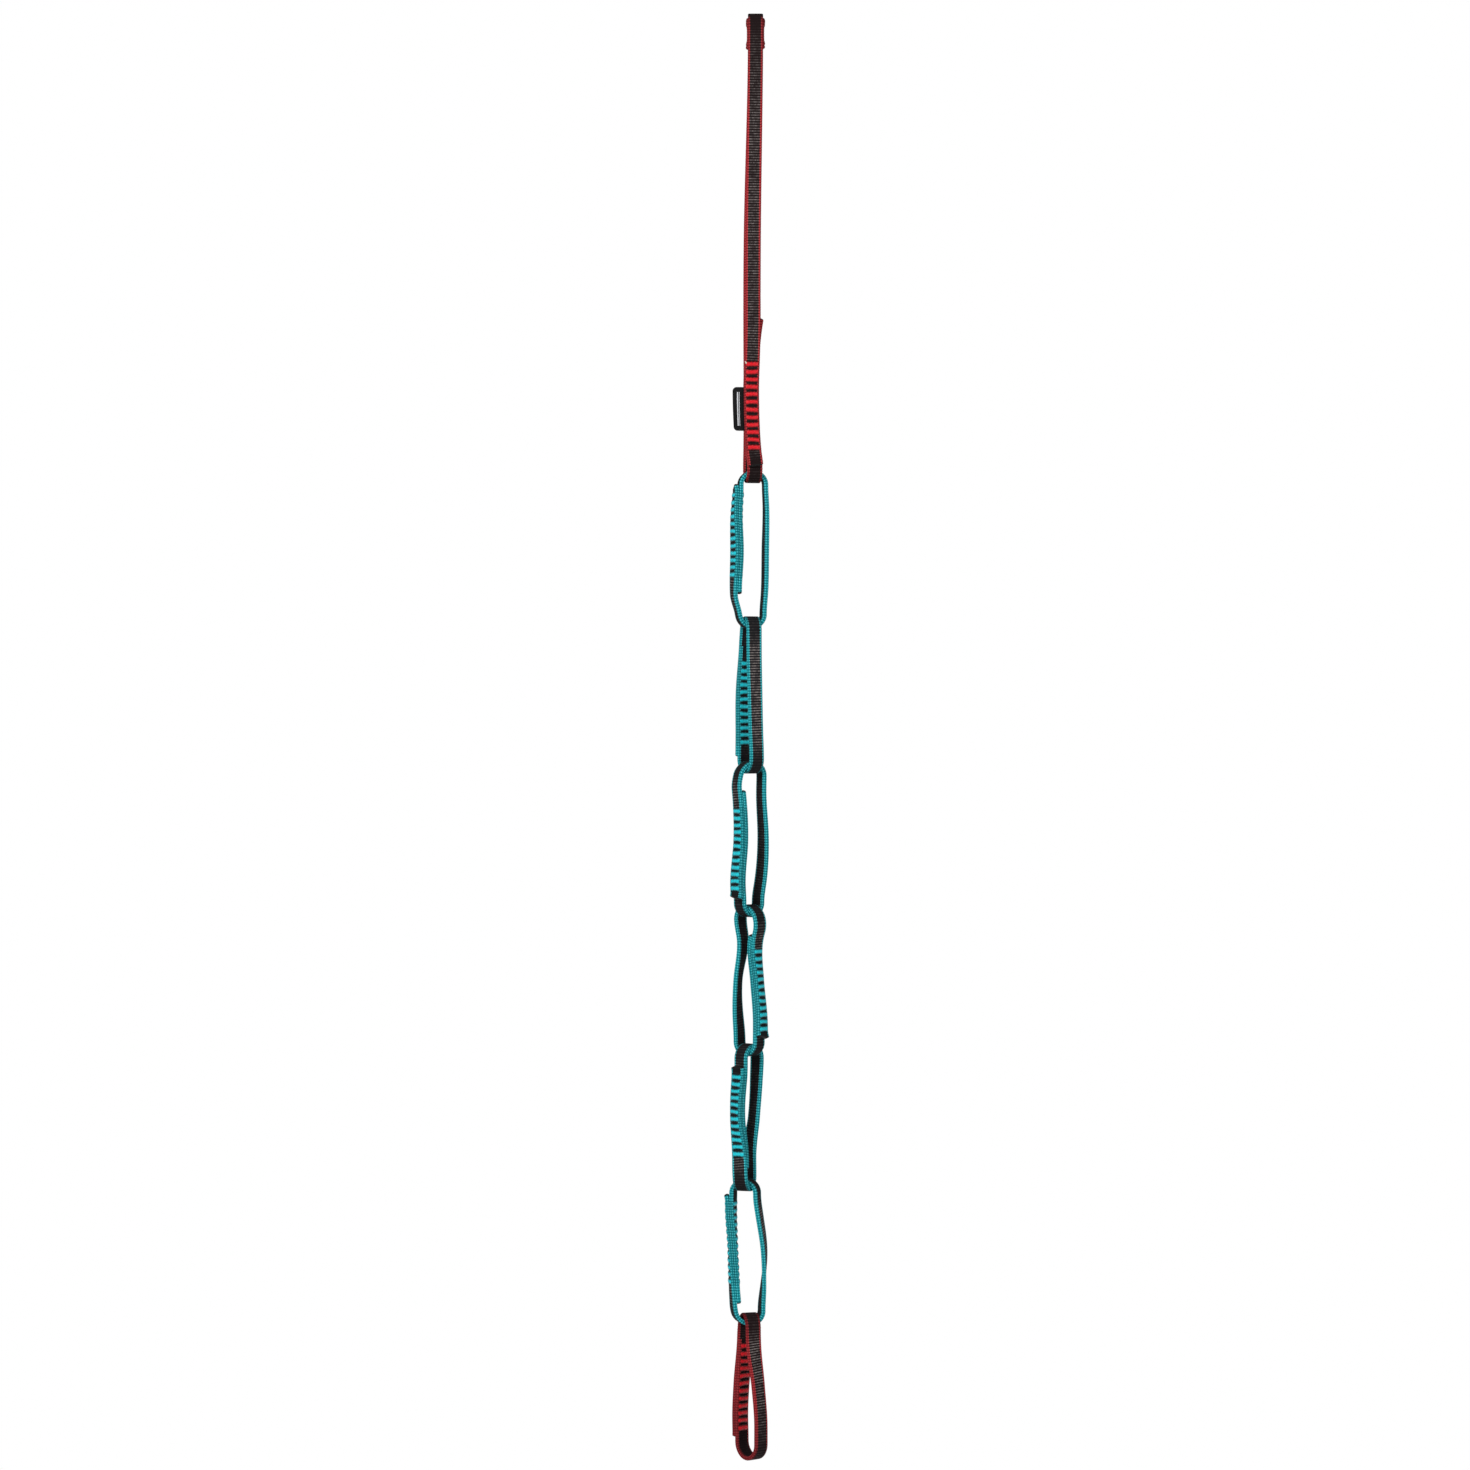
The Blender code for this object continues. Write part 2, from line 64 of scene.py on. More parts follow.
# The route of each loop's strip, as in the frame's own source, in metres
BIGHT_ROOM = 0.0025
LINK_CLEARANCE = 0.0007
SELVEDGE_PLACE_SHARES = (0.0, 0.35, 0.65, 0.85, 0.95)
FLARE_LENGTH = 0.018
TIE_IN_BORE_RADIUS = 0.0062
END_BIGHT_RADIUS = 0.0105
LINER_GAP = 0.0003
LINER_TAIL = 0.0160
LINER_SEAM_INSET = 0.0018
LINER_UPPER_SEAM = -0.0042
LABEL_ABOVE_BOTTOM = 0.0583
LABEL_SEAT_DEPTH = 0.0002
TACKS = 12
JOG_LENGTH = 0.020
JOG_CLEARANCE = 0.0015
TAIL_SLIP_LENGTH = 0.034
LAP_GAP = 0.0004
NAMES = ("tie_in_loop", "link_1", "link_2", "link_3", "link_4", "link_5", "link_6", "end_loop")
TIE_IN_LENGTH = 0.3750
LINK_LENGTH = 0.1213
LINK_LENGTH_SHARES = (1.0420, 1.0330, 1.0264, 0.9975, 0.9687, 0.9654, 0.9662)
LENGTHS = (TIE_IN_LENGTH,) + tuple(share * LINK_LENGTH for share in LINK_LENGTH_SHARES)
UPPER_SPREADS = (0.0, 0.0014, 0.0, -0.0014, -0.0085, -0.0025, 0.0018, -0.0028)
MIDDLE_SPREADS = (-0.0050, 0.0014, 0.0010, 0.0004, -0.0045, -0.0062, 0.0034, -0.0026)
LOWER_SPREADS = (-0.0030, 0.0018, -0.0008, 0.0030, 0.0, -0.0080, 0.0018, 0.0018)
MIDDLE_TURNS_DEG = (0.0, 111.0, 23.0, 126.0, 63.0, 130.0, 85.0, 39.0)
BOTTOM_TURNS_DEG = (9.5, 104.0, 29.0, 134.0, 50.0, 162.0, 106.5, 39.0)
TOES_DEG = (0.0, 6.0, 0.0, 0.0, -3.0, 0.0, 6.0, 0.0)
QUARTER_TURNS = (0, 1, -1, 1, -1, 1, -1, -1)
LEANS = (-0.0022, -0.0014, -0.0003, -0.0012, 0.0, -0.0032, 0.0036, 0.0014)
BOWS = (-0.0024, 0.0008, -0.0008, 0.0024, -0.0020, 0.0002, 0.0018, 0.0)
SEAM_SIDES = (-1, 1, 1, 1, -1, 1, 1, 1)
OUTER_TAIL_UP = (False, True, False, False, False, True, True, False)
SEAM_TOP_SHARES = (0.648, 0.099, 0.177, 0.194, 0.189, 0.145, 0.114, 0.179)
SEAM_BOTTOM_SHARES = (0.033, 0.230, 0.100, 0.119, 0.126, 0.153, 0.159, 0.135)
LADDER_MIDDLE_SHARES = (0.597, 0.462, 0.517, 0.543, 0.543, 0.478, 0.442, 0.490)
LADDER_LENGTH_SHARES = (0.607, 0.821, 0.762, 0.785, 0.811, 0.815, 0.789, 0.896)
SEAM_TOPS = tuple(share * length for share, length in zip(SEAM_TOP_SHARES, LENGTHS))
SEAM_BOTTOMS = tuple(share * length for share, length in zip(SEAM_BOTTOM_SHARES, LENGTHS))
SEAM_LENGTHS = tuple(
    whole - top - bottom for whole, top, bottom in zip(LENGTHS, SEAM_TOPS, SEAM_BOTTOMS)
)
LADDER_MIDDLES = tuple(
    top + share * seam for top, share, seam in zip(SEAM_TOPS, LADDER_MIDDLE_SHARES, SEAM_LENGTHS)
)
TACK_PITCHES = tuple(share * seam / TACKS for share, seam in zip(LADDER_LENGTH_SHARES, SEAM_LENGTHS))
TAIL_SLIPS = (0.0028, 0.0, 0.0, 0.0, 0.0, 0.0, 0.0, 0.0)

# How far the threads draw each bar tack in at its middle, how its outline scallops between stitches
# and falls off at its ends, and how much the bars of a ladder differ in height, lean and sag. The
# steps, in radians from bar to bar, spread those differences over the ladder.
TACK_WAIST_SHARES = (0.06, 0.12, 0.14, 0.12, 0.16, 0.18, 0.14, 0.08)
TACK_SIDES = 8
TACK_SEGMENTS = 7
TACK_SCALLOP = 0.09
TACK_END_FALL = 0.55
TACK_UNEVENNESS = 0.05
TACK_LEAN = 0.05
TACK_SAG = 0.00035
UNEVENNESS_STEP, LEAN_STEP, SAG_STEP = 2.4, 1.7, 1.1
TACK_SHARP_DEG = 60

# How the strip's two ends were cut, and how far its free outer end stands off beyond the last tack
CUT_SLANTS_DEG = (4.0, 14.0, -6.0, 8.0, -8.0, 5.0, 9.0, -5.0)
SLANT_REACH = 0.005
TAIL_LIFTS = (0.0002, 0.0008, 0.0, 0.0018, 0.0014, 0.0009, 0.0010, 0.0003)
TAIL_LIFT_REACH = 0.0065

# How far to the right each seam has swung out, beside its frame loop, as the hanging chain came to
# rest, where that starts and is full, and how much of it is left below the ladder of tacks
SEAM_SWAYS = (-0.0019, -0.0012, 0.0, 0.0, 0.0, -0.0011, 0.0, 0.0)
SWAY_START = 0.012
SWAY_FULL = 0.025
SWAY_LEFT_SHARE = 0.6

# The fused end of thread beside the tie-in loop's first tack
LOOSE_END_RADIUS = 0.0006
LOOSE_END_LENGTH = 0.0024
LOOSE_END_SIDES = 8
LOOSE_END_CUTS = 5
LOOSE_END_BESIDE_SHARE = 1.05
LOOSE_END_TAPER = 0.6
LOOSE_END_LUMP = 0.2
LOOSE_END_LUMP_STEP = 9
LOOSE_END_CURL = LOOSE_END_LENGTH / 3
LOOSE_END_HEIGHT_SHARE = 0.8

# How the liner and the label are cut and folded
LINER_SLANTS_DEG = (3.0, -4.0)
LINER_FLARE_REACH = 0.0022
LABEL_CELLS = (14, 40)
LABEL_CORNER = 0.0030
LABEL_BEVEL = 0.0003
LABEL_BEVEL_SEGMENTS = 3
LABEL_SWAY = 0.0009
LABEL_SWAY_STEP = 4
LABEL_SHARP_DEG = 50

# Finer detail than the frame has
STATION_STEP = 0.0004
FACE_STEPS = 8
SELVEDGE_STEPS = 10
SELVEDGE_SQUARENESS = 4.4
FLAT_SHARE = 0.985
LAP_FILL = 0.00045
BEAD_COLUMN_PITCH = 0.0016
END_FLARE = 0.0001
END_FLARE_REACH = 0.0018
END_ROUNDING_SHARE = 0.45
END_ROUNDING_REACH = 0.0004
SEALED_LENGTH = 0.0012
LINER_SEALED_LENGTH = 0.0004
MM = 1000.0

# How much of the ribs and of the selvedge's colour shows: on the inner face, where holding back the
# ribs is painted shade, near a sealed end, towards the top of the tie-in loop, in the bights, round the
# end loop and under the tacks, where painted shade darkens the webbing between the bars
RIB_STRENGTHS = (0.8, 1.0, 1.3, 1.0, 1.0, 1.0, 1.2, 1.25)
INNER_SHADE_RIB_SHARE = 0.22
PLAIN_END_START = 0.004
PLAIN_END_LENGTH = 0.012
TOP_PLAIN_ABOVE = 0.0014
TOP_PLAIN_FADE = 0.0020
TOP_RIB_SHARE = 0.25
TOP_RIB_FADE = 0.080
TOP_COLOUR_SHARE = 0.6
BIGHT_RIB_SHARE = 0.1
BIGHT_FADE = 0.014
BIGHT_EDGE_SHARE = 0.2
BIGHT_EDGE_START = 0.006
BIGHT_EDGE_FADE = 0.008
END_LOOP_FADE = 0.050
END_LOOP_COLOUR_SHARE = 0.6
LADDER_SHADE_RIB_SHARE = 0.12
LADDER_SHADE_COLOUR_SHARE = 0.8

# Sizes of the patterns, in millimetres
WARP_PITCH_MM = 0.95
BORDER_RAGGEDNESS_MM = 0.15
BORDER_BLEND_MM = 0.35
STITCH_LEAN = 0.18
STITCH_WAVER_MM = 0.35
LABEL_WEFT_MM = 0.5
LABEL_LINES_MM = ((5.2, 0.45), (3.9, 0.22))
LABEL_LINE_REACH_MM = 13.5

# Noise scales, in patches to the metre: dulled patches of 4.2 mm, filaments drawn 0.3 mm apart so
# that they show, melted lumps of 1.1 mm, stitches that wander every 2 mm, and clouds of 0.7 mm in
# the fused thread
DULL_PATCHES = 240.0
FILAMENTS = 3200.0
MELTED_LUMPS = 900.0
STITCH_WANDERS = 500.0
FUSED_CLOUDS = 1500.0

# The studio: where the camera and the lamps aim, how far off the camera stands and what height it
# frames there, and each lamp's name, place, size and power
AIM = (-0.0164, 0.0, -0.5716)
CAMERA_DISTANCE = 3.0
FRAME_HEIGHT = 1.176
SENSOR_WIDTH_MM = 36.0
FLOOR_WIDTH = 6.0
FLOOR_BELOW = 0.28
SKY_LEVEL = 0.34
WHITE = (1.0, 1.0, 1.0, 1.0)
LAMPS = (
    ("key_lamp", (-1.5, -2.1, 1.1), (1.2, 1.2), 70.0),
    ("fill_lamp", (1.9, -2.2, -0.3), (1.6, 1.8), 24.0),
)

# A loop's own value from each tuple above, and its measures, which are worked out from the sizes
Loop = namedtuple(
    "Loop",
    "name length upper_spread middle_spread lower_spread middle_turn bottom_turn toe lean bow "
    "seam_side outer_tail_up seam_top seam_bottom ladder_middle tack_pitch tail_slip waist slant "
    "tail_lift sway rib_strength thickness top_radius bottom_radius leg top_turn top_centre",
)


def linear(code):
    """An sRGB hex colour such as #2a2626 as the linear red, green and blue that Blender works in."""
    shares = [int(code[place:place + 2], 16) / 255 for place in (1, 3, 5)]
    return tuple(s / 12.92 if s <= 0.04045 else ((s + 0.055) / 1.055) ** 2.4 for s in shares)


def length_prop(name, description, default):
    return bpy.props.FloatProperty(
        name=name, description=description, default=default, min=0.0, precision=5,
        unit="LENGTH", subtype="DISTANCE",
    )


def colour_prop(name, description, code):
    return bpy.props.FloatVectorProperty(
        name=name, description=description, default=linear(code), min=0.0, max=1.0,
        size=3, subtype="COLOR",
    )


class ChainSizes(bpy.types.PropertyGroup):
    """Sizes of the webbing, thread and trim."""

    webbing_width: length_prop("Webbing width", "Width of the flat webbing", 0.012)
    webbing_thickness: length_prop("Webbing thickness", "Thickness of one layer of webbing", 0.003)
    rib_pitch: length_prop("Rib pitch", "Distance between two cross ribs of the weave", 0.0021)
    rib_relief: length_prop("Rib relief", "How far a cross rib stands out of the face", 0.00012)
    bead_relief: length_prop("Bead relief", "How far each bead of the selvedge stands out", 0.00016)
    selvedge_width: length_prop("Selvedge width", "Width of the coloured edge on the face", 0.0018)
    tack_length: length_prop("Tack length", "Length of a bar tack, across the webbing", 0.0093)
    tack_height: length_prop("Tack height", "Height of a bar tack, along the webbing", 0.0053)
    tack_rise: length_prop("Tack rise", "How far a bar tack stands out of the webbing", 0.0014)
    thread_pitch: length_prop("Thread pitch", "Distance between the stitches of a bar tack", 0.00055)
    liner_width: length_prop("Liner width", "Width of the liner between its seams", 0.0137)
    liner_thickness: length_prop("Liner thickness", "Thickness of the liner", 0.0018)
    liner_flare: length_prop("Liner flare", "How far the liner's edge stands out at its seams", 0.0008)
    label_height: length_prop("Label height", "Height of the label, along the webbing", 0.035)
    label_reach: length_prop("Label reach", "How far the label stands out of the seam", 0.009)
    label_thickness: length_prop("Label thickness", "Thickness of the folded label", 0.0009)


class ChainColours(bpy.types.PropertyGroup):
    """Colours of the webbing, thread, label and studio."""

    red_loop_face: colour_prop("Face, red loops", "Warp of the red-edged webbing's faces", "#1b1112")
    teal_loop_face: colour_prop("Face, teal loops", "Warp of the teal-edged webbing's faces", "#171719")
    # Pale weft on the crests of the cross ribs, partly a painted highlight
    rib: colour_prop("Rib", "Weft yarn that shows in the cross ribs", "#827a78")
    # The selvedge's three tones: painted shade in the dips between the beads, the yarn's own colour
    # round them, and a painted highlight on the beads
    teal_shade: colour_prop("Teal shade", "Teal selvedge in the dips between its beads", "#003e48")
    teal_ground: colour_prop("Teal ground", "Teal selvedge round its beads", "#0f868f")
    teal_bead: colour_prop("Teal bead", "Teal selvedge on its beads", "#58c5cc")
    red_shade: colour_prop("Red shade", "Red selvedge in the dips between its beads", "#56070c")
    red_ground: colour_prop("Red ground", "Red selvedge round its beads", "#8c2227")
    red_bead: colour_prop("Red bead", "Red selvedge on its beads", "#b84548")
    teal_thread: colour_prop("Teal thread", "Thread of the teal bar tacks", "#16bfcc")
    red_thread: colour_prop("Red thread", "Thread of the red bar tacks", "#d3101f")
    sealed: colour_prop("Sealed end", "Webbing melted where it was cut", "#0f0c0d")
    label: colour_prop("Label", "Ground of the woven label", "#0c0c0e")
    label_line: colour_prop("Label line", "Plain line woven into the label", "#c9cbcf")
    loose_end: colour_prop("Loose end", "Fused end of the tack thread", "#e6d9c8")
    floor: colour_prop("Floor", "Studio floor", "#f4f4f4")


def link_drop(width, thickness):
    """The distance between the centres of two linked bights that lie on each other. The selvedges
    clear each other least at some place round their curve, so a few places are tried."""
    selvedge = thickness / 2
    flat = width / 2 - selvedge
    radius = width / 2 + BIGHT_ROOM
    drops = []
    for share in SELVEDGE_PLACE_SHARES:
        beside = flat + share * selvedge
        reach = radius + selvedge * (1 - math.sqrt(1 - share**2)) - LINK_CLEARANCE
        drops.append(math.sqrt(reach**2 - flat**2) + math.sqrt(radius**2 - beside**2))
    return min(drops)


def clamped(value):
    """The value, held between 0 and 1."""
    return min(1.0, max(0.0, value))


def rising(least, share):
    """A share that rises from its least to 1 as the other share goes from 0 to 1."""
    return least + (1 - least) * share


def smooth_through(knots, at):
    """A smooth curve through (place, value) knots that is level at the first and last."""
    slopes = [0.0]
    for (x0, y0), (x1, y1), (x2, y2) in zip(knots, knots[1:], knots[2:]):
        before = (y1 - y0) / (x1 - x0)
        after = (y2 - y1) / (x2 - x1)
        slopes.append((before * (x2 - x1) + after * (x1 - x0)) / (x2 - x0))
    slopes.append(0.0)
    if at <= knots[0][0]:
        return knots[0][1]
    for (x0, y0), (x1, y1), slope_in, slope_out in zip(knots, knots[1:], slopes, slopes[1:]):
        if at > x1:
            continue
        span = x1 - x0
        t = (at - x0) / span
        rise = y0 * (2 * t**3 - 3 * t**2 + 1) + y1 * (3 * t**2 - 2 * t**3)
        lean_in = slope_in * span * (t**3 - 2 * t**2 + t)
        lean_out = slope_out * span * (t**3 - t**2)
        return rise + lean_in + lean_out
    return knots[-1][1]


def planned_loops(sizes):
    """Every loop, with its place worked out from the loop above it."""
    radius = sizes.webbing_width / 2 + BIGHT_ROOM
    thickness = sizes.webbing_thickness
    loops = []
    centre = Vector((0.0, 0.0, -TIE_IN_BORE_RADIUS))
    top_turn = MIDDLE_TURNS_DEG[0]
    columns = zip(
        NAMES, LENGTHS, UPPER_SPREADS, MIDDLE_SPREADS, LOWER_SPREADS, MIDDLE_TURNS_DEG,
        BOTTOM_TURNS_DEG, TOES_DEG, LEANS, BOWS, SEAM_SIDES, OUTER_TAIL_UP, SEAM_TOPS, SEAM_BOTTOMS,
        LADDER_MIDDLES, TACK_PITCHES, TAIL_SLIPS, TACK_WAIST_SHARES, CUT_SLANTS_DEG, TAIL_LIFTS,
        SEAM_SWAYS, RIB_STRENGTHS,
    )
    for index, row in enumerate(columns):
        first, last = index == 0, index == len(NAMES) - 1
        top_radius = TIE_IN_BORE_RADIUS + sizes.liner_thickness + LINER_GAP if first else radius
        bottom_radius = END_BIGHT_RADIUS if last else radius
        if not first:
            above = loops[-1]
            drop = link_drop(sizes.webbing_width, thickness)
            centre = middle_line(above, above.leg) - Vector((0.0, 0.0, drop))
            top_turn = above.bottom_turn + 90 * QUARTER_TURNS[index]
        leg = row[1] - top_radius - bottom_radius - 2 * thickness
        loops.append(Loop(*row, thickness, top_radius, bottom_radius, leg, top_turn, centre))
    return loops


def half_gap(loop, down):
    """Half the space between the legs."""
    top, bottom = loop.top_radius, loop.bottom_radius
    middle = (top + bottom) / 2
    flare = min(FLARE_LENGTH, loop.leg / 4)
    knots = (
        (0.0, top),
        (flare, top + loop.upper_spread / 2),
        (loop.leg / 2, middle + loop.middle_spread / 2),
        (loop.leg - flare, middle + loop.lower_spread / 2),
        (loop.leg, bottom),
    )
    return smooth_through(knots, down)


def turn(loop, down):
    """Direction of the webbing's width, as an angle from +X."""
    knots = ((0.0, loop.top_turn), (loop.leg / 2, loop.middle_turn), (loop.leg, loop.bottom_turn))
    return math.radians(smooth_through(knots, down))


def middle_line(loop, down):
    """A point on the loop's middle line."""
    knots = ((0.0, 0.0), (loop.leg / 2, loop.lean / 2 + loop.bow), (loop.leg, loop.lean))
    return loop.top_centre + Vector((smooth_through(knots, down), 0.0, -down))


def directions(angle):
    """The webbing's width direction, and the direction out of its face, at this angle from +X."""
    across = Vector((math.cos(angle), math.sin(angle), 0.0))
    out = Vector((-math.sin(angle), math.cos(angle), 0.0))
    return across, out


def on_bight(loop, out, down):
    """The point this far out and down on a bight, and the webbing's width direction there."""
    across, outward = directions(turn(loop, down))
    return middle_line(loop, down) + out * outward, across


def ladder_down(loop):
    """How far down the leg the middle of the ladder of tacks lies."""
    return loop.ladder_middle - loop.top_radius - loop.thickness


def tack_down(loop, number):
    """How far down the leg this tack of the ladder lies."""
    return ladder_down(loop) + (number + 0.5 - TACKS / 2) * loop.tack_pitch


def seam_lift(loop, way):
    """How far the seam's outer face (way 1), its middle (0) or its inner face (-1) lies out of the
    middle of its inner layer."""
    return (loop.thickness + LAP_GAP) / 2 + way * (loop.thickness + LAP_GAP / 2)


def seam_sway(loop, down):
    """How far the seam has swung to the right, this far down its leg."""
    middle = ladder_down(loop)
    top = middle - TACKS / 2 * loop.tack_pitch
    bottom = min(middle + TACKS / 2 * loop.tack_pitch, loop.leg - SWAY_START / 2)
    start = max(top - SWAY_START, SWAY_START / 4)
    full = max(min(top + SWAY_FULL, middle), start + SWAY_START / 4)
    knots = ((0.0, 0.0), (start, 0.0), (full, 1.0), (bottom, SWAY_LEFT_SHARE), (loop.leg, 0.0))
    return loop.sway * smooth_through(knots, down)


def on_leg(loop, side, down, lift=0.0, slip=0.0):
    """A point on a leg, lifted out of its face and slipped along its width, and the width direction."""
    middle, _ = on_bight(loop, side * (half_gap(loop, down) + loop.thickness / 2), down)
    swing = math.sin(math.pi * clamped(down / loop.leg)) ** 2
    toe = math.radians(loop.toe) * side * loop.seam_side
    across, outward = directions(turn(loop, down) + toe * swing)
    if side == loop.seam_side and loop.sway:
        middle = middle + Vector((seam_sway(loop, down), 0.0, 0.0))
    return middle + side * lift * outward + slip * across, across


def spaced(start, end, step=STATION_STEP):
    """Even places from start to end, both included."""
    count = max(1, round(abs(end - start) / step))
    return [start + (end - start) * index / count for index in range(count + 1)]


def bight(loop, radius, centre_down, side, way, lift_at=None):
    """Stations round a half circle from the leg on this side to the other; way is 1 under the bottom
    centre and -1 over the top one."""
    found = []
    for angle in spaced(0.0, math.pi, STATION_STEP / radius)[1:-1]:
        reach = radius + (lift_at(radius * (math.pi - angle)) if lift_at else 0.0)
        out, down = side * reach * math.cos(angle), centre_down + way * reach * math.sin(angle)
        found.append(on_bight(loop, out, down))
    return found


def strip_path(loop):
    """Stations (point, width direction) along the middle of the strip, from its inner end, along the
    seam, round both bights and back over its own start to its outer end."""
    seam_top = loop.seam_top - loop.top_radius - loop.thickness
    seam_bottom = loop.leg + loop.bottom_radius + loop.thickness - loop.seam_bottom
    if loop.outer_tail_up:
        first, last, near, far = seam_bottom, seam_top, loop.leg, 0.0
        near_radius, far_radius, way = loop.bottom_radius, loop.top_radius, -1
    else:
        first, last, near, far = seam_top, seam_bottom, 0.0, loop.leg
        near_radius, far_radius, way = loop.top_radius, loop.bottom_radius, 1
    side = loop.seam_side
    half = loop.thickness / 2
    pitch = loop.thickness + LAP_GAP
    to_start = abs(first - near)

    def lift_at(before_leg):
        """How far out the strip has moved, this far before the leg begins."""
        share = clamped(1 - (before_leg + to_start - JOG_CLEARANCE) / JOG_LENGTH)
        return pitch * (3 * share**2 - 2 * share**3)

    def slip_at(down):
        return loop.tail_slip * max(0.0, 1 - abs(down - first) / TAIL_SLIP_LENGTH) ** 2

    inner = [on_leg(loop, side, down, 0.0, slip_at(down)) for down in spaced(first, far)]
    path = inner + bight(loop, far_radius + half, far, side, way)
    path += [on_leg(loop, -side, down) for down in spaced(far, near)]
    path += bight(loop, near_radius + half, near, -side, -way, lift_at)
    for down in spaced(near, last):
        free = max(0.0, 1 - abs(down - last) / TAIL_LIFT_REACH)
        lift = lift_at(-abs(down - near)) + loop.tail_lift * free**2
        path.append(on_leg(loop, side, down, lift))
    return path


def outline(width, thickness):
    """The webbing's cross-section. Each corner is (across, through, sideways share, outward share,
    signed distance from the middle of the face round the skin). Its faces are slightly crowned and its
    selvedges rounder than square."""
    radius = thickness / 2
    flat = width / 2 - radius
    corners = []
    for index in range(FACE_STEPS + 1):
        across = flat * (1 - 2 * index / FACE_STEPS)
        fall = (1 - FLAT_SHARE) * radius * (across / flat) ** 2
        corners.append((across, radius - fall, 0.0, 1.0, across))
    spots = []
    for index in range(SELVEDGE_STEPS + 1):
        angle = math.pi * index / SELVEDGE_STEPS
        beside, through = math.sin(angle), math.cos(angle)
        reach = radius * abs(beside) ** (2 / SELVEDGE_SQUARENESS)
        height = radius * FLAT_SHARE * math.copysign(abs(through) ** (2 / SELVEDGE_SQUARENESS), through)
        spots.append((flat + reach, height, beside, through))
    passed = [0.0]
    for (x0, y0, _, _), (x1, y1, _, _) in zip(spots, spots[1:]):
        passed.append(passed[-1] + math.hypot(x1 - x0, y1 - y0))
    for (reach, height, beside, through), gone in list(zip(spots, passed))[1:-1]:
        corners.append((-reach, height, -beside, through, -(flat + min(gone, passed[-1] - gone))))
    return corners + [tuple(-value for value in corner) for corner in corners]


def near_top_share(point):
    """How much is left near the top of the ribs, of the selvedge's colour, and of the part of that
    colour that lies on the face; the ribs and the colour show less towards the top."""
    share = clamped((TOP_PLAIN_ABOVE - point.z) / TOP_PLAIN_FADE)
    depth = clamped(-point.z / TOP_RIB_FADE)
    kept = rising(TOP_COLOUR_SHARE, depth) * share * share * (3 - 2 * share)
    return rising(TOP_RIB_SHARE, depth), kept, 1.0


def loop_fades_and_shade(loop):
    """A function that gives how much of the ribs, of the selvedge's colour and of its part on the face
    a point of this loop shows: less in the bights, and less under the ladder of tacks, where the
    webbing between the bars is darkened as painted shade."""
    middle = ladder_down(loop)
    reach = TACKS / 2 * loop.tack_pitch

    def showing_at(point):
        ribs, colour, _ = near_top_share(point) if loop.name == NAMES[0] else (1.0, 1.0, 1.0)
        down = loop.top_centre.z - point.z
        low_fade = END_LOOP_FADE if loop.name == NAMES[-1] else BIGHT_FADE
        on_legs = clamped(min(down / BIGHT_FADE, (loop.leg - down) / low_fade))
        _, outward = directions(turn(loop, down))
        beside = (point - middle_line(loop, down)).dot(outward) * loop.seam_side
        # Painted shade: on the seam's side under the ladder, the ribs and the selvedge's colour are
        # held back, darkening the webbing between the bars
        if beside > 0 and abs(down - middle) < reach:
            ribs *= LADDER_SHADE_RIB_SHARE
            colour *= LADDER_SHADE_COLOUR_SHARE
        ribs *= loop.rib_strength * rising(BIGHT_RIB_SHARE, on_legs)
        if loop.name == NAMES[-1]:
            colour *= rising(END_LOOP_COLOUR_SHARE, on_legs)
        past = min(down + loop.top_radius, loop.leg + BIGHT_EDGE_START - down) / BIGHT_EDGE_FADE
        return ribs, colour, rising(BIGHT_EDGE_SHARE, clamped(past))

    return showing_at


def strip_frames(path):
    """For each station, the directions along the strip, across it and through it."""
    last = len(path) - 1
    frames = []
    for index, (_, width) in enumerate(path):
        tangent = (path[min(index + 1, last)][0] - path[max(index - 1, 0)][0]).normalized()
        across = (width - width.dot(tangent) * tangent).normalized()
        frames.append((tangent, across, tangent.cross(across)))
    return frames


def map_weave(mesh, places):
    """The UV map "weave", from each vertex's millimetres across and along the weave."""
    weave = mesh.uv_layers.new(name="weave")
    for corner, item in zip(mesh.loops, weave.uv):
        item.vector = places[corner.vertex_index]


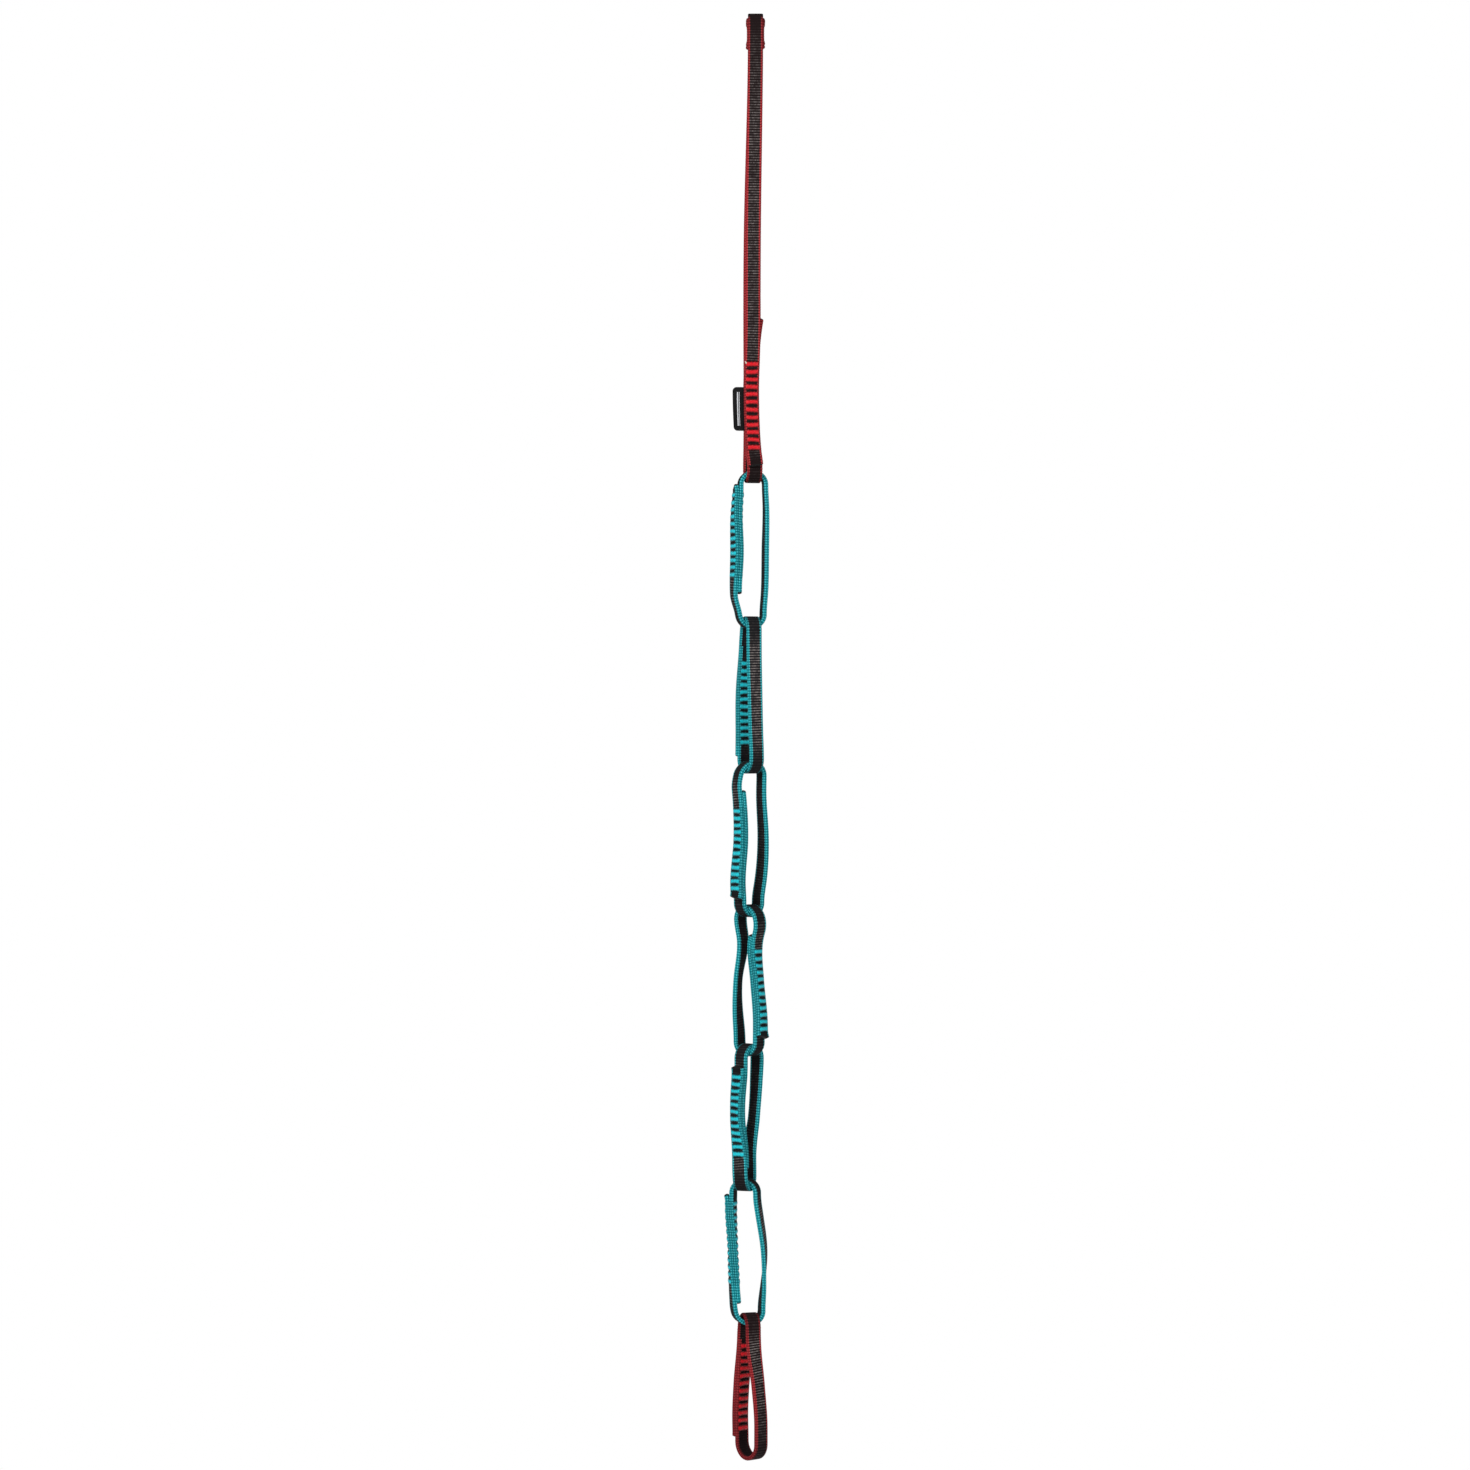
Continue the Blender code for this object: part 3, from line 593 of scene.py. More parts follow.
def woven_strip(name, path, thickness, width_at, sizes, slants, showing_at, materials, melted):
    """A strip of webbing through the stations, with its ribs and selvedge beads in the mesh.

    Its attribute "show" holds how far the ribs show and how much of the selvedge's colour shows.
    Painted shade holds back the ribs on the inner face, and both of them under the tacks. The
    attribute's third value is always 0.
    """
    last = len(path) - 1
    travelled = [0.0]
    for (a, _), (b, _) in zip(path, path[1:]):
        travelled.append(travelled[-1] + (b - a).length)
    whole = travelled[-1]
    centre = sum((point for point, _ in path), Vector()) / len(path)
    apex = max(place for *_, place in outline(sizes.webbing_width, thickness))
    frames = strip_frames(path)
    # The strip closes on itself, so one of its faces looks away from the middle of the loop
    facing = sum((point - centre).dot(through) for (point, _), (_, _, through) in zip(path, frames))
    corners, places, shows = [], [], []
    for (point, _), (tangent, across, through), along in zip(path, frames, travelled):
        to_end = min(along, whole - along)
        flare = END_FLARE * math.exp(-((to_end / END_FLARE_REACH) ** 2))
        rounding = 1 - END_ROUNDING_SHARE * math.exp(-to_end / END_ROUNDING_REACH)
        slant = math.tan(math.radians(slants[0] if along < whole / 2 else slants[1]))
        slant *= math.exp(-((to_end / SLANT_REACH) ** 2))
        count = along / sizes.rib_pitch
        crest = math.cos(2 * math.pi * count)
        woven = min(1.0, to_end / melted)
        ribs, colour, faced = showing_at(point)
        ribs *= clamped((to_end - PLAIN_END_START) / PLAIN_END_LENGTH)
        for a, t, sideways, outward, place in outline(width_at(point) + 2 * flare, thickness + flare):
            if sideways:
                column = (apex - abs(place)) / BEAD_COLUMN_PITCH + 0.5
                bump = (0.5 + 0.5 * math.cos(2 * math.pi * column)) * (0.5 + 0.5 * crest)
                rise = sizes.bead_relief * bump * woven
            else:
                rise = sizes.rib_relief / 2 * crest * woven
            beside = (a * rounding + rise * sideways) * across
            spot = point + beside + (t * rounding + rise * outward) * through
            corners.append(spot + slant * a * tangent)
            places.append((place * MM, (along + slant * a) * MM))
            # Painted shade: the inner face, which looks into the loop, shows only a share of the pale
            # ribs
            shown = ribs if outward * facing > 0 else ribs * INNER_SHADE_RIB_SHARE
            shows += (shown, colour * rising(faced, abs(sideways)), 0.0)
    ring = len(corners) // len(path)
    faces, kinds = [], []
    for station in range(last):
        sealed = min(travelled[station], whole - travelled[station + 1]) < melted
        for index in range(ring):
            after = (index + 1) % ring
            near, far = station * ring, (station + 1) * ring
            faces.append((near + index, near + after, far + after, far + index))
            kinds.append(int(sealed))
    faces += [tuple(reversed(range(ring))), tuple(range(last * ring, (last + 1) * ring))]
    kinds += [1, 1]
    mesh = bpy.data.meshes.new(name)
    mesh.from_pydata(corners, [], faces)
    mesh.polygons.foreach_set("material_index", kinds)
    mesh.attributes.new("show", "FLOAT_VECTOR", "POINT").data.foreach_set("vector", shows)
    map_weave(mesh, places)
    for item in materials:
        mesh.materials.append(item)
    mesh.shade_smooth()
    mesh.update()
    made = bpy.data.objects.new(name, mesh)
    bpy.context.scene.collection.objects.link(made)
    return made


def add(tree, kind, *sources, **settings):
    """Adds a node with its settings. Its inputs are fed in order, or by the names or numbers in one
    dictionary, each by a value, a socket or a node's first output."""
    made = tree.nodes.new("ShaderNode" + kind)
    for name, value in settings.items():
        setattr(made, name, value)
    named = sources and isinstance(sources[0], dict)
    for name, value in sources[0].items() if named else enumerate(sources):
        if isinstance(value, bpy.types.Node):
            value = value.outputs[0]
        if isinstance(value, bpy.types.NodeSocket):
            tree.links.new(value, made.inputs[name])
        else:
            made.inputs[name].default_value = value
    return made


def new_material(name, **constants):
    """A node material with its shader's constant values set on the shader itself."""
    made = bpy.data.materials.new(name)
    made.use_nodes = True
    shader = made.node_tree.nodes["Principled BSDF"]
    for socket, value in constants.items():
        shader.inputs[socket.replace("_", " ")].default_value = value
    return made, made.node_tree, shader


def dress(tree, shader, colour, tone, height, strength, depth):
    """Gives the shader its colour, dimmed or brightened by the tone, and a bump."""
    shade = add(tree, "VectorMath", {0: colour, "Scale": tone}, operation="SCALE")
    tree.links.new(shade.outputs[0], shader.inputs["Base Color"])
    bump = add(tree, "Bump", {"Height": height, "Strength": strength, "Distance": depth})
    tree.links.new(bump.outputs[0], shader.inputs["Normal"])


def ripple(tree, count):
    """A wave that is 1 at each whole count and -1 half way between."""
    angle = add(tree, "Math", count, 2 * math.pi, operation="MULTIPLY")
    return add(tree, "Math", angle, operation="COSINE")


def weave_place(tree):
    """Millimetres across and along the weave, from the piece's own UV map."""
    place = add(tree, "SeparateXYZ", add(tree, "UVMap", uv_map="weave"))
    return place.outputs[0], place.outputs[1]


def rgba(colour):
    """The colour with full opacity."""
    return (*colour, 1.0)


def webbing_material(name, sizes, rib, face, shade, ground, bead):
    """Woven polyamide webbing: a matt charcoal face where short lengths of pale weft, partly a painted
    highlight, show on the crest of each cross rib, and a coloured selvedge whose beads carry a painted
    highlight, with painted shade in the dips between them."""
    made, tree, shader = new_material(name, Roughness=0.78, IOR=1.53, Specular_IOR_Level=0.06)
    across, along = weave_place(tree)
    show = add(tree, "Attribute", attribute_name="show").outputs["Vector"]
    ribs_show, colour_shown, _ = add(tree, "SeparateXYZ", show).outputs
    spot = add(tree, "TexCoord").outputs["Object"]
    # Cross ribs, which the face's crests follow
    count = add(tree, "Math", along, sizes.rib_pitch * MM, operation="DIVIDE")
    row = add(tree, "Math", count, operation="ROUND")
    ribs = ripple(tree, count)
    crest = add(tree, "MapRange", ribs, -0.3, 0.9, interpolation_type="SMOOTHSTEP")
    # Warp yarns, which step by half from one rib to the next, and weft of uneven tone
    half_row = add(tree, "Math", row, 0.5, operation="MULTIPLY")
    warp = add(tree, "Math", across, 1 / WARP_PITCH_MM, half_row, operation="MULTIPLY_ADD")
    yarn = ripple(tree, warp)
    dash = add(tree, "MapRange", yarn, -1.0, 0.6, 0.5, 1.0)
    cell = add(tree, "CombineXYZ", row, add(tree, "Math", warp, operation="ROUND"))
    pick = add(tree, "TexWhiteNoise", cell, noise_dimensions="2D")
    pick = add(tree, "MapRange", pick, 0.0, 1.0, 0.4, 1.1)
    # Patches that handling has dulled
    worn = add(tree, "TexNoise", {"Vector": spot, "Scale": DULL_PATCHES, "Detail": 3.0})
    worn = add(tree, "MapRange", worn, 0.35, 0.65, 0.3, 1.1)
    # The pale weft on the rib crests, partly a painted highlight, thinned by the other shares
    pale = crest
    for share in (dash, pick, worn, ribs_show):
        pale = add(tree, "Math", pale, share, operation="MULTIPLY")
    surface = {0: pale, 6: rgba(face), 7: rgba(rib)}
    surface = add(tree, "Mix", surface, data_type="RGBA", clamp_factor=True)
    # The selvedge's beads lie in two columns round the edge, one bead in each column for each rib. The
    # dips and the lanes between them get painted shade, and each bead a painted highlight
    beside = add(tree, "Math", across, operation="ABSOLUTE")
    apex = max(place for *_, place in outline(sizes.webbing_width, sizes.webbing_thickness)) * MM
    inward = add(tree, "Math", apex, beside, operation="SUBTRACT")
    lane = add(tree, "Math", inward, 1 / (BEAD_COLUMN_PITCH * MM), 0.5, operation="MULTIPLY_ADD")
    column = add(tree, "MapRange", ripple(tree, lane), -1.0, 0.8, 0.5)
    bead_row = add(tree, "MapRange", ribs, -1.0, 0.8, 0.3)
    beads = add(tree, "Math", column, bead_row, operation="MULTIPLY")
    risen = add(tree, "MapRange", beads, 0.0, 0.45)
    bead_highlight = add(tree, "MapRange", beads, 0.6, 0.95)
    edge = add(tree, "Mix", {0: risen, 6: rgba(shade), 7: rgba(ground)}, data_type="RGBA")
    edge = add(tree, "Mix", {0: bead_highlight, 6: edge.outputs[2], 7: rgba(bead)}, data_type="RGBA")
    # The selvedge gives way to the face's colour as its shown share falls, and that share includes
    # painted shade under the tacks
    edge_as_shown = add(tree, "Mix", {0: colour_shown, 6: rgba(face), 7: edge.outputs[2]}, data_type="RGBA")
    start = (sizes.webbing_width / 2 - sizes.selvedge_width) * MM
    ragged = add(tree, "Math", ribs, BORDER_RAGGEDNESS_MM, beside, operation="MULTIPLY_ADD")
    border = add(tree, "MapRange", ragged, start, start + BORDER_BLEND_MM)
    colour = {0: border, 6: surface.outputs[2], 7: edge_as_shown.outputs[2]}
    colour = add(tree, "Mix", colour, data_type="RGBA")
    fine = add(tree, "TexNoise", {"Vector": spot, "Scale": FILAMENTS, "Detail": 2.0})
    yarns = add(tree, "Math", yarn, 0.5, fine, operation="MULTIPLY_ADD")
    dress(tree, shader, colour.outputs[2], 1.0, yarns, 0.6, 0.00012)
    return made


def sealed_material(name, colour):
    """Melted polyamide: the knife's heat fuses the yarns into a dark, uneven, slightly glossy lip."""
    made, tree, shader = new_material(name, Roughness=0.55, IOR=1.53, Specular_IOR_Level=0.15)
    spot = add(tree, "TexCoord").outputs["Object"]
    lumps = add(tree, "TexNoise", {"Vector": spot, "Scale": MELTED_LUMPS, "Detail": 3.0})
    tone = add(tree, "MapRange", lumps, 0.3, 0.75, 0.7, 1.7)
    dress(tree, shader, colour, tone, lumps, 0.7, 0.0003)
    return made


def thread_material(name, sizes, colour):
    """Bonded polyester thread in a dense zigzag: each stitch is a smooth, shiny cord, with a line of
    painted shade where it dips beside the next."""
    made, tree, shader = new_material(name, Roughness=0.35, IOR=1.54, Specular_IOR_Level=0.25)
    across, along = weave_place(tree)
    spot = add(tree, "TexCoord").outputs["Object"]
    uneven = add(tree, "TexNoise", {"Vector": spot, "Scale": STITCH_WANDERS, "Detail": 2.0})
    lean = add(tree, "Math", along, STITCH_LEAN, across, operation="MULTIPLY_ADD")
    lean = add(tree, "Math", uneven, STITCH_WAVER_MM, lean, operation="MULTIPLY_ADD")
    stitch = add(tree, "Math", lean, sizes.thread_pitch * MM, operation="DIVIDE")
    cord = ripple(tree, stitch)
    cord = add(tree, "MapRange", cord, -1.0, 0.4, interpolation_type="SMOOTHSTEP")
    # Painted shade where each stitch dips beside the next
    tone = add(tree, "MapRange", cord, 0.0, 1.0, 0.55, 1.0)
    # Painted shade along both banks of the bar, where the stitches dive into the webbing, and a painted
    # highlight along its crown
    off = add(tree, "Math", along, operation="ABSOLUTE")
    half = sizes.tack_height / 2 * MM
    painted_crown_and_banks = (off, 0.2 * half, 0.85 * half, 1.35, 0.08)
    painted_crown_and_banks = add(tree, "MapRange", *painted_crown_and_banks, interpolation_type="SMOOTHSTEP")
    tone = add(tree, "Math", tone, painted_crown_and_banks, operation="MULTIPLY")
    dress(tree, shader, colour, tone, cord, 0.8, 0.0002)
    return made


def fused_thread_material(name, colour):
    """Polyester thread melted at its cut end: a pale, smooth bead with a cloudy tone."""
    made, tree, shader = new_material(name, Roughness=0.4, IOR=1.54)
    spot = add(tree, "TexCoord").outputs["Object"]
    cloud = add(tree, "TexNoise", {"Vector": spot, "Scale": FUSED_CLOUDS, "Detail": 2.0})
    tone = add(tree, "MapRange", cloud, 0.3, 0.7, 0.65, 1.0)
    dress(tree, shader, colour, tone, cloud, 0.4, 0.0001)
    return made


def label_material(name, satin, border):
    """Damask-woven polyester label: a black satin ground with fine weft lines and plain pale borders.
    The weft threads are drawn coarser than they are, so that they show."""
    made, tree, shader = new_material(name, Roughness=0.55, IOR=1.54, Specular_IOR_Level=0.12)
    reach, along = weave_place(tree)
    phase = add(tree, "Math", along, 2 * math.pi / LABEL_WEFT_MM, operation="MULTIPLY")
    weft = add(tree, "Math", phase, operation="SINE")
    tone = add(tree, "MapRange", weft, -1.0, 1.0, 0.7, 1.3)
    line, thin = (
        add(tree, "Math", reach, middle, half, operation="COMPARE") for middle, half in LABEL_LINES_MM
    )
    both = add(tree, "Math", line, thin, operation="MAXIMUM")
    inside = add(tree, "Math", along, 0.0, LABEL_LINE_REACH_MM, operation="COMPARE")
    mask = add(tree, "Math", both, inside, operation="MULTIPLY")
    colour = {0: mask, 6: rgba(satin), 7: rgba(border)}
    colour = add(tree, "Mix", colour, data_type="RGBA")
    dress(tree, shader, colour.outputs[2], tone, weft, 0.4, 0.00008)
    return made


def shared(name, make, *values):
    """The material of this name, made on its first use."""
    return bpy.data.materials.get(name) or make(name, *values)


def red_edged(loop):
    """Whether this is one of the two loops with red selvedges and thread."""
    return loop.name in (NAMES[0], NAMES[-1])


def webbing_for(loop, sizes, colours):
    """The webbing and its melted ends, and the record's slot for this loop."""
    edge, slot = ("red", "webbing_red_edge") if red_edged(loop) else ("teal", "webbing_teal_edge")
    parts = ("_loop_face", "_shade", "_ground", "_bead")
    tones = [getattr(colours, edge + part) for part in parts]
    name = "Woven polyamide, " + edge + " selvedge"
    woven = shared(name, webbing_material, sizes, colours.rib, *tones)
    return [woven, shared("Melted polyamide end", sealed_material, colours.sealed)], slot


def settings():
    """The sizes and the colours that the user has set."""
    scene = bpy.context.scene
    return scene.chain_sizes, scene.chain_colours


def deselect_all():
    """Leaves edit mode, with nothing selected."""
    if bpy.context.mode != "OBJECT":
        bpy.ops.object.mode_set(mode="OBJECT")
    bpy.ops.object.select_all(action="DESELECT")


def take(name):
    """The object that an operator has just added, under its own name."""
    made = bpy.context.object
    made.name = made.data.name = name
    return made


def flat_places(mesh):
    """Each vertex's place in the XY plane, in millimetres."""
    return [(vertex.co.x * MM, vertex.co.y * MM) for vertex in mesh.vertices]


def finish_mesh(piece, material, sharp_deg):
    """Turns the active piece's faces outwards, dresses it and smooths all but its sharp edges."""
    bpy.ops.object.mode_set(mode="EDIT")
    bpy.ops.mesh.select_all(action="SELECT")
    bpy.ops.mesh.normals_make_consistent(inside=False)
    bpy.ops.object.mode_set(mode="OBJECT")
    piece.data.materials.clear()
    piece.data.materials.append(material)
    piece.data.shade_smooth()
    piece.data.set_sharp_from_angle(angle=math.radians(sharp_deg))


class CHAIN_OT_webbing(bpy.types.Operator):
    """Weave the eight loops along the routes of the frame's loops"""

    bl_idname = "chain.webbing"
    bl_label = "Webbing loops"

    def execute(self, context):
        sizes, colours = settings()
        for loop in planned_loops(sizes):
            materials, slot = webbing_for(loop, sizes, colours)
            piece = woven_strip(
                loop.name + "_webbing", strip_path(loop), loop.thickness + LAP_FILL,
                lambda point: sizes.webbing_width, sizes, (loop.slant, -loop.slant),
                loop_fades_and_shade(loop), materials, SEALED_LENGTH,
            )
            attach(piece, loop.name if loop.name != NAMES[0] else "tie_in")
            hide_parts(loop.name)
        return {"FINISHED"}


def model_tack(sizes):
    """One bar tack, lying across the webbing: a flattened bar that is cut into stitches."""
    deselect_all()
    bpy.ops.mesh.primitive_cylinder_add(
        vertices=TACK_SIDES, radius=sizes.tack_height / 2, depth=sizes.tack_length,
        rotation=(0.0, math.pi / 2, 0.0),
    )
    bar = take("bar_tack")
    bpy.ops.object.transform_apply(location=True, rotation=True, scale=True)
    bpy.ops.object.mode_set(mode="EDIT")
    bpy.ops.mesh.select_mode(type="EDGE")
    bpy.ops.mesh.select_all(action="DESELECT")
    bpy.ops.object.mode_set(mode="OBJECT")
    for edge in bar.data.edges:
        a, b = (bar.data.vertices[index].co for index in edge.vertices)
        edge.select = abs(a.x - b.x) > sizes.tack_length / 2
    bpy.ops.object.mode_set(mode="EDIT")
    bpy.ops.mesh.subdivide(number_cuts=TACK_SEGMENTS - 1)
    bpy.ops.mesh.select_all(action="SELECT")
    bpy.ops.transform.resize(value=(1.0, 1.0, 2 * sizes.tack_rise / sizes.tack_height))
    bpy.ops.object.mode_set(mode="OBJECT")
    return bar


def stitched_copy(bar, loop, sizes, number, way):
    """A copy of the bar tack, laid on the seam's outer face (way 1) or inner face (-1), with its middle
    drawn in by its threads. Each bar of the ladder, by its number, leans and sags a little and is a
    little higher or lower than the next."""
    copy = bar.copy()
    copy.data = bar.data.copy()
    bpy.context.scene.collection.objects.link(copy)
    map_weave(copy.data, flat_places(copy.data))
    middle, face = tack_down(loop, number), seam_lift(loop, way)
    half = sizes.tack_length / 2
    size = 1 + TACK_UNEVENNESS * math.sin(UNEVENNESS_STEP * number)
    lean = TACK_LEAN * math.sin(LEAN_STEP * number + loop.length)
    sag = TACK_SAG * math.sin(SAG_STEP * number)
    for vertex in copy.data.vertices:
        x, y, z = vertex.co
        share = abs(x) / half
        column = round((x + half) / (sizes.tack_length / TACK_SEGMENTS))
        scallop = TACK_SCALLOP if column % 2 else -TACK_SCALLOP
        height = y * size * (1 - loop.waist * (1 - share**2) + scallop)
        down = middle - height - x * lean + sag * (1 - share**2)
        lift = face + way * z * (1 - TACK_END_FALL * share**4)
        vertex.co, _ = on_leg(loop, loop.seam_side, down, lift, x)
    return copy


class CHAIN_OT_tacks(bpy.types.Operator):
    """Sew twelve bar tacks through the lapped seam of every loop, with thread on both faces"""

    bl_idname = "chain.tacks"
    bl_label = "Bar tacks"

    def execute(self, context):
        sizes, colours = settings()
        bar = model_tack(sizes)
        for loop in planned_loops(sizes):
            red = red_edged(loop)
            colour = colours.red_thread if red else colours.teal_thread
            name = "Bonded polyester thread, " + ("red" if red else "teal")
            thread = shared(name, thread_material, sizes, colour)
            copies = [
                stitched_copy(bar, loop, sizes, number, way)
                for number in range(TACKS) for way in (1, -1)
            ]
            deselect_all()
            for copy in copies:
                copy.select_set(True)
            bpy.context.view_layer.objects.active = copies[0]
            bpy.ops.object.join()
            piece = take(loop.name + "_tacks")
            finish_mesh(piece, thread, TACK_SHARP_DEG)
            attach(piece, loop.name if loop.name != NAMES[0] else "tie_in")
        bpy.data.objects.remove(bar)
        return {"FINISHED"}


class CHAIN_OT_loose_end(bpy.types.Operator):
    """Leave the fused end of the tack thread standing out beside the tie-in loop's first bar tack"""

    bl_idname = "chain.loose_end"
    bl_label = "Loose thread end"

    def execute(self, context):
        sizes, colours = settings()
        loop = planned_loops(sizes)[0]
        deselect_all()
        bpy.ops.mesh.primitive_cylinder_add(
            vertices=LOOSE_END_SIDES, radius=LOOSE_END_RADIUS, depth=LOOSE_END_LENGTH
        )
        piece = take("loose_thread_end")
        bpy.ops.object.mode_set(mode="EDIT")
        bpy.ops.mesh.select_all(action="SELECT")
        bpy.ops.mesh.subdivide(number_cuts=LOOSE_END_CUTS)
        bpy.ops.object.mode_set(mode="OBJECT")
        down = tack_down(loop, 0) - sizes.tack_height / 4
        beside = -LOOSE_END_BESIDE_SHARE * sizes.tack_length / 2
        root, _ = on_leg(loop, loop.seam_side, down, seam_lift(loop, 1), beside)
        for vertex in piece.data.vertices:
            x, y, z = vertex.co
            share = z / LOOSE_END_LENGTH + 0.5
            size = 1 - LOOSE_END_TAPER * share**3
            size *= 1 + LOOSE_END_LUMP * math.sin(LOOSE_END_LUMP_STEP * share)
            curl = LOOSE_END_CURL * share**2
            x, y = x * size - curl, y * size - curl / 2 - LOOSE_END_RADIUS / 2
            vertex.co = root + Vector((x, y, z * LOOSE_END_HEIGHT_SHARE))
        fused = fused_thread_material("Fused polyester thread", colours.loose_end)
        piece.data.materials.append(fused)
        piece.data.shade_smooth()
        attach(piece, "tie_in")
        return {"FINISHED"}


class CHAIN_OT_liner(bpy.types.Operator):
    """Lay the liner inside the top bight of the tie-in loop, widest where it is sewn"""

    bl_idname = "chain.liner"
    bl_label = "Tie-in liner"

    def execute(self, context):
        sizes, colours = settings()
        loop = planned_loops(sizes)[0]
        inset = LINER_GAP + sizes.liner_thickness / 2
        seams = (LINER_UPPER_SEAM, LINER_TAIL - LINER_SEAM_INSET)
        tail = spaced(LINER_TAIL, 0.0)
        path = [on_leg(loop, 1, down, -inset - loop.thickness / 2) for down in tail]
        path += bight(loop, loop.top_radius - inset, 0.0, 1, -1)
        path += [on_leg(loop, -1, down, -inset - loop.thickness / 2) for down in reversed(tail)]

        def width_at(point):
            down = loop.top_centre.z - point.z
            flare = sum(math.exp(-(((down - seam) / LINER_FLARE_REACH) ** 2)) for seam in seams)
            return sizes.liner_width + 2 * sizes.liner_flare * flare

        materials, _ = webbing_for(loop, sizes, colours)
        piece = woven_strip(
            "tie_in_liner_webbing", path, sizes.liner_thickness, width_at, sizes, LINER_SLANTS_DEG,
            near_top_share, materials, LINER_SEALED_LENGTH,
        )
        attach(piece, "tie_in")
        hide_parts("tie_in_liner")
        return {"FINISHED"}


class CHAIN_OT_label(bpy.types.Operator):
    """Fold the label and sew it into the side of the tie-in loop's seam"""

    bl_idname = "chain.label"
    bl_label = "Label"

    def execute(self, context):
        sizes, colours = settings()
        loop = planned_loops(sizes)[0]
        deselect_all()
        columns, rows = LABEL_CELLS
        bpy.ops.mesh.primitive_grid_add(x_subdivisions=columns, y_subdivisions=rows, size=1.0)
        piece = take("label_woven")
        for vertex in piece.data.vertices:
            reach = (vertex.co.x + 0.5) * sizes.label_reach
            along = math.sin(math.pi * vertex.co.y) / 2 * sizes.label_height
            over = max(0.0, abs(along) - (sizes.label_height / 2 - LABEL_CORNER))
            limit = sizes.label_reach - LABEL_CORNER + math.sqrt(max(0.0, LABEL_CORNER**2 - over**2))
            vertex.co = (reach * limit / sizes.label_reach, along, 0.0)
        map_weave(piece.data, flat_places(piece.data))
        fold = piece.modifiers.new("Two plies", "SOLIDIFY")
        fold.thickness = sizes.label_thickness
        fold.offset = 0.0
        soft = piece.modifiers.new("Soft fold", "BEVEL")
        soft.width = LABEL_BEVEL
        soft.segments = LABEL_BEVEL_SEGMENTS
        for modifier in list(piece.modifiers):
            bpy.ops.object.modifier_apply(modifier=modifier.name)
        middle = loop.length - loop.top_radius - loop.thickness - LABEL_ABOVE_BOTTOM
        root = sizes.webbing_width / 2 - LABEL_SEAT_DEPTH
        for vertex in piece.data.vertices:
            reach, along, through = vertex.co
            sway = LABEL_SWAY * (reach / sizes.label_reach) ** 2
            sway *= math.sin(along / sizes.label_height * LABEL_SWAY_STEP)
            lift = seam_lift(loop, 0) + through + sway
            vertex.co, _ = on_leg(loop, loop.seam_side, middle + along, lift, -(root + reach))
        name = "Woven label, polyester satin"
        woven = label_material(name, colours.label, colours.label_line)
        finish_mesh(piece, woven, LABEL_SHARP_DEG)
        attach(piece, "tie_in")
        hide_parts("label_tab")
        return {"FINISHED"}


def studio_paint(name, colours):
    """Matt pale paint that the camera, gloss and glass see as white."""
    paint, tree, shader = new_material(name, Roughness=0.9)
    shader.inputs["Base Color"].default_value = rgba(colours.floor)
    rays = add(tree, "LightPath")
    seen = rays.outputs["Is Camera Ray"]
    for kind in ("Is Glossy Ray", "Is Transmission Ray"):
        seen = add(tree, "Math", seen, rays.outputs[kind], operation="MAXIMUM")
    white = add(tree, "Emission", {"Color": WHITE, "Strength": 1.0})
    mixed = add(tree, "MixShader", seen, shader, white)
    tree.links.new(mixed.outputs[0], tree.nodes["Material Output"].inputs["Surface"])
    return paint


def add_lamp(name, place, size, power):
    """A soft rectangular lamp that faces the middle of the chain."""
    deselect_all()
    bpy.ops.object.light_add(type="AREA", location=place)
    lamp = take(name)
    lamp.rotation_euler = (Vector(AIM) - Vector(place)).to_track_quat("-Z", "Y").to_euler()
    lamp.data.shape = "RECTANGLE"
    lamp.data.size, lamp.data.size_y = size
    lamp.data.energy = power


